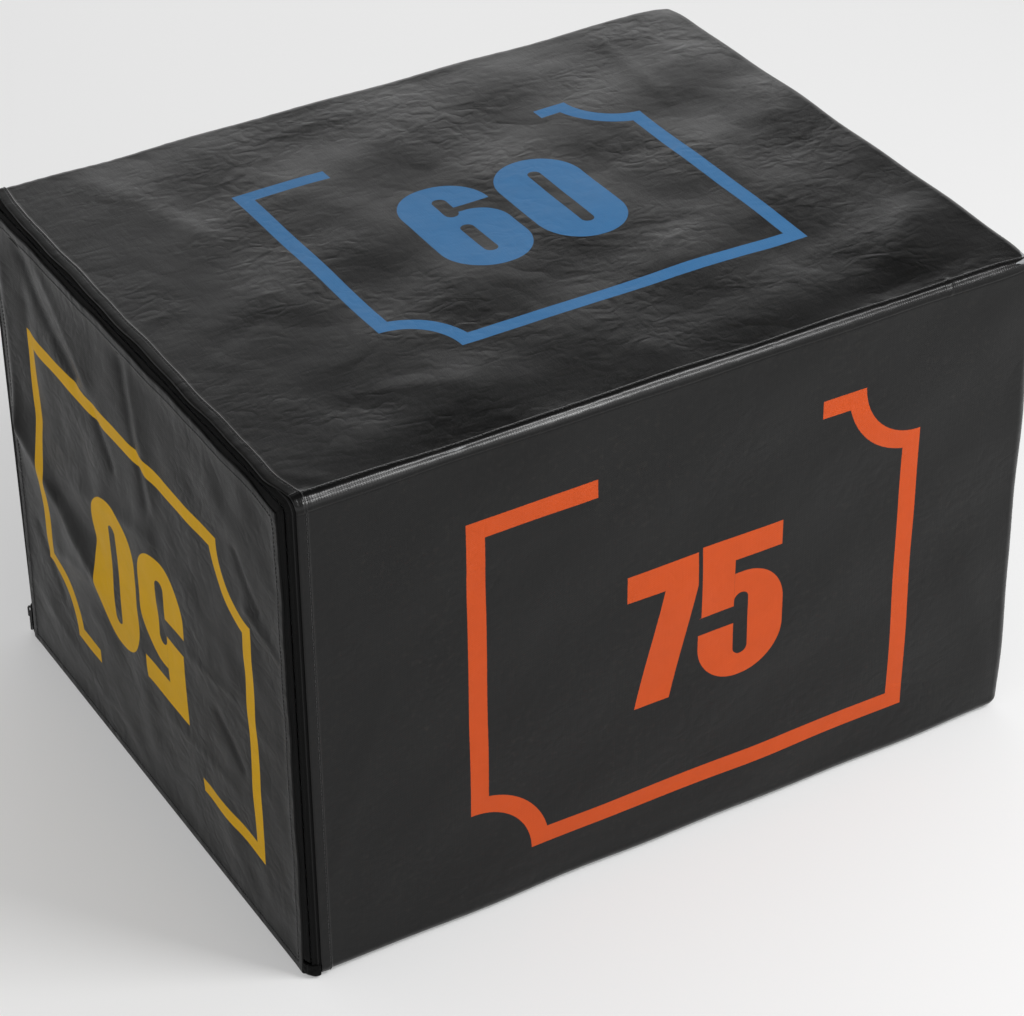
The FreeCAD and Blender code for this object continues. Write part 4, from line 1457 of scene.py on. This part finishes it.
def cut_foam():
    """Grey foam with cells, saw marks and a film of dust."""
    material, shader, blank = new_finish("cut_foam")
    place = blank.node("TexCoord", {}, {}, "Object")
    cells = place.node("TexVoronoi", {"feature": "F1"}, {"Vector": place, "Scale": 1 / FOAM_CELL})
    fine = place.noise(0.8 * MM, 3.0)
    saw = (place.part(2) / MM + place.noise(40 * MM) * 6.0).wave(SAW_MARK)
    patch = place.noise(70 * MM, 3.0)
    tone = (0.55 - cells * 0.35 + fine * 0.4 + patch * 0.5 + saw * 0.05).clipped()
    feed(shader, Base_Color=tone.tint(FOAM_DARK, FOAM_LIGHT))
    feed(shader, Roughness=(0.88 + fine * 0.15).clipped(), Specular_IOR_Level=0.25)
    feed(shader, Normal=bump(cells * -0.5 + fine * 0.15 + saw * 0.05))
    return material


foam_finish = cut_foam()
FOAM_BACK = 8.5 * MM
FOAM_RIGHT = 7.2 * MM
FOAM_SIDE = 6 * MM
FOAM_UNDER = 1.0 * MM
FOAM_OVER = 1.5 * MM
FOAM_UNEVEN = 0.25 * MM
ZIP_BEVEL = 18 * MM
BOARD_CHAMFER = 8 * MM
BOARD_ROLL = 0.9 * MM
BOARD_STEP = 14 * MM
BOARD_SHIFT = 0.5 * MM
ROLL_LEVELS = [(0, BOARD_ROLL), (0.5 * MM, 0.3 * MM), (2 * MM, 0)]
WALL_START = 9 * MM


def board_corners(left):
    """Corners of a board, bevelled beside the zip."""
    right, half = RIGHT - FOAM_RIGHT, BACK - FOAM_SIDE
    return [
        (left + ZIP_BEVEL, -half), (right - BOARD_CHAMFER, -half),
        (right, BOARD_CHAMFER - half), (right, half - BOARD_CHAMFER),
        (right - BOARD_CHAMFER, half), (left + ZIP_BEVEL, half),
        (left, half - ZIP_BEVEL), (left, ZIP_BEVEL - half),
    ]


def board_sides(left):
    corners = board_corners(left)
    return list(zip(corners, corners[1:] + corners[:1]))


SIDE_STEPS = [max(1, round(math.dist(*ends) / BOARD_STEP)) for ends in board_sides(LEFT + FOAM_BACK)]


def board_outline(inset, left, rng):
    """Points round a board, always the same number, drawn in by an inset."""
    points = []
    for (start, end), steps in zip(board_sides(left), SIDE_STEPS):
        points += [np.add(start, np.subtract(end, start) * k / steps) for k in range(steps)]
    points = np.array(points)
    along = np.roll(points, -1, axis=0) - np.roll(points, 1, axis=0)
    outward = unit(np.stack([along[:, 1], -along[:, 0]], -1))
    uneven = rng.normal(size=len(points)) * FOAM_UNEVEN
    return points + (uneven - inset)[:, None] * outward


def foam_board(number, node):
    """One board between the faces of its solid."""
    rng = np.random.default_rng(100 + number)
    low, high = (corner.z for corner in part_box(node))
    low += FOAM_UNDER if number == 1 else 0
    high -= FOAM_OVER if number == BOARDS else 0
    levels = [(low + rise, inset) for rise, inset in ROLL_LEVELS]
    levels += [(z, 0) for z in np.linspace(low + WALL_START, high - WALL_START, 5)]
    levels += [(high - rise, inset) for rise, inset in ROLL_LEVELS[::-1]]
    step = rng.normal() * BOARD_SHIFT
    rings = []
    for z, inset in levels:
        beside_zip = max(0.0, z - (TOP - ZIP_BEVEL))
        left = LEFT + FOAM_BACK + beside_zip + step
        outline = board_outline(inset, left, rng)
        rings.append(np.column_stack([outline, np.full(len(outline), z)]))
    count = len(rings[0])
    index = np.arange(len(rings) * count).reshape(len(rings), count)
    after = np.roll(index, -1, axis=1)
    quads = np.stack([index[:-1], after[:-1], after[1:], index[1:]], -1).reshape(-1, 4)
    faces = quads.tolist() + [index[0, ::-1].tolist(), index[-1].tolist()]
    board = add_object("foam_board_%02d" % number, np.concatenate(rings), faces, foam_finish)
    board.data.polygons.foreach_set("use_smooth", np.array([True] * len(quads) + [False] * 2))
    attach(board, "cover")
    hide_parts(node)


foam_nodes = sorted(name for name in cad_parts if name.startswith("foam_slab"))
BOARDS = len(foam_nodes)
for number, node in enumerate(foam_nodes, start=1):
    foam_board(number, node)
print(BOARDS, "foam boards")

# %% [markdown]
# ## Floor and light
# Black vinyl shows its surroundings more than its own colour. The box stands on a pale floor in a white
# room with a dim ceiling. A large soft lamp over the front right lights the upright sides and draws the
# bright line along the front ridge. The top mirrors what is behind the box: the border between wall and
# ceiling and two weak wide lamps. A bare white room would leave it evenly grey and hide its dents.

# %% Floor
FLOOR_HALF = 12.0
FLOOR_PALE = grey(0.86)
FLOOR_ROUGH = 0.9
FLOOR_SHINE = 0.1
FLOOR_WHITE = 0.27
corners = [(-1, -1), (1, -1), (1, 1), (-1, 1)]
floor = add_object("floor", [(x * FLOOR_HALF, y * FLOOR_HALF, 0) for x, y in corners], [(0, 1, 2, 3)])


def seen_directly(blank):
    """1 for rays that come from the camera or from a reflection or a refraction."""
    rays = [blank.node("LightPath", {}, {}, name) for name in (
        "Is Camera Ray", "Is Glossy Ray", "Is Transmission Ray")]
    return rays[0] & rays[1] & rays[2]


def pale_floor():
    """A pale floor, lifted towards white where it is seen, which keeps the shadow."""
    material, shader, blank = new_finish("pale_floor")
    feed(shader, Base_Color=FLOOR_PALE, Roughness=FLOOR_ROUGH, Specular_IOR_Level=FLOOR_SHINE)
    glow = blank.node("Emission", {}, {"Color": grey(1.0), "Strength": 1.0})
    plain = Signal(blank.tree, shader.outputs[0])
    both = blank.node("MixShader", {}, {0: seen_directly(blank) * FLOOR_WHITE, 1: plain, 2: glow})
    blank.tree.links.new(both.socket, blank.tree.nodes["Material Output"].inputs["Surface"])
    return material


floor.data.materials.append(pale_floor())
print("floor %.0f m wide" % (2 * FLOOR_HALF))

# %% Room
ROOM_LIGHT = 0.52
WALL_TOP, CEILING = 0.16, 0.52
CEILING_DIM = 0.03
world = bpy.data.worlds.new("studio")
world.use_nodes = True
bpy.context.scene.world = world
room = Signal(world.node_tree)
height = room.node("TexCoord", {}, {}, "Generated").part(2)
wall = 1 - height.between(WALL_TOP, CEILING) * (1 - CEILING_DIM)
seen = room.node("Background", {}, {"Color": grey(1.0), "Strength": wall})
unseen = room.node("Background", {}, {"Color": grey(1.0), "Strength": ROOM_LIGHT})
both = room.node("MixShader", {}, {0: seen_directly(room), 1: unseen, 2: seen})
world.node_tree.links.new(both.socket, world.node_tree.nodes["World Output"].inputs["Surface"])
print("room light %.2f, ceiling %.2f as seen" % (ROOM_LIGHT, CEILING_DIM))


# %% Lamps
def soft_lamp(name, direction, distance, size, power):
    """A rectangular lamp that faces the middle of the box: metres for its place, watts for its power."""
    data = bpy.data.lights.new(name, "AREA")
    data.shape = "RECTANGLE"
    data.size, data.size_y = size
    data.energy = power
    lamp = bpy.data.objects.new(name, data)
    bpy.context.scene.collection.objects.link(lamp)
    aim = Vector((0, 0, MID_Z))
    lamp.location = aim + Vector(direction).normalized() * distance
    lamp.rotation_euler = (aim - lamp.location).to_track_quat("-Z", "Y").to_euler()


soft_lamp("key", (0.42, -0.57, 0.72), 2.6, (1.0, 0.8), 45)
soft_lamp("back", (0.026, 0.754, 0.656), 2.8, (1.2, 0.6), 2)
soft_lamp("rear", (0.438, 0.822, 0.364), 2.9, (1.5, 0.42), 6)
bpy.context.scene.view_settings.view_transform = "Standard"
print("floor, room and three lamps set")
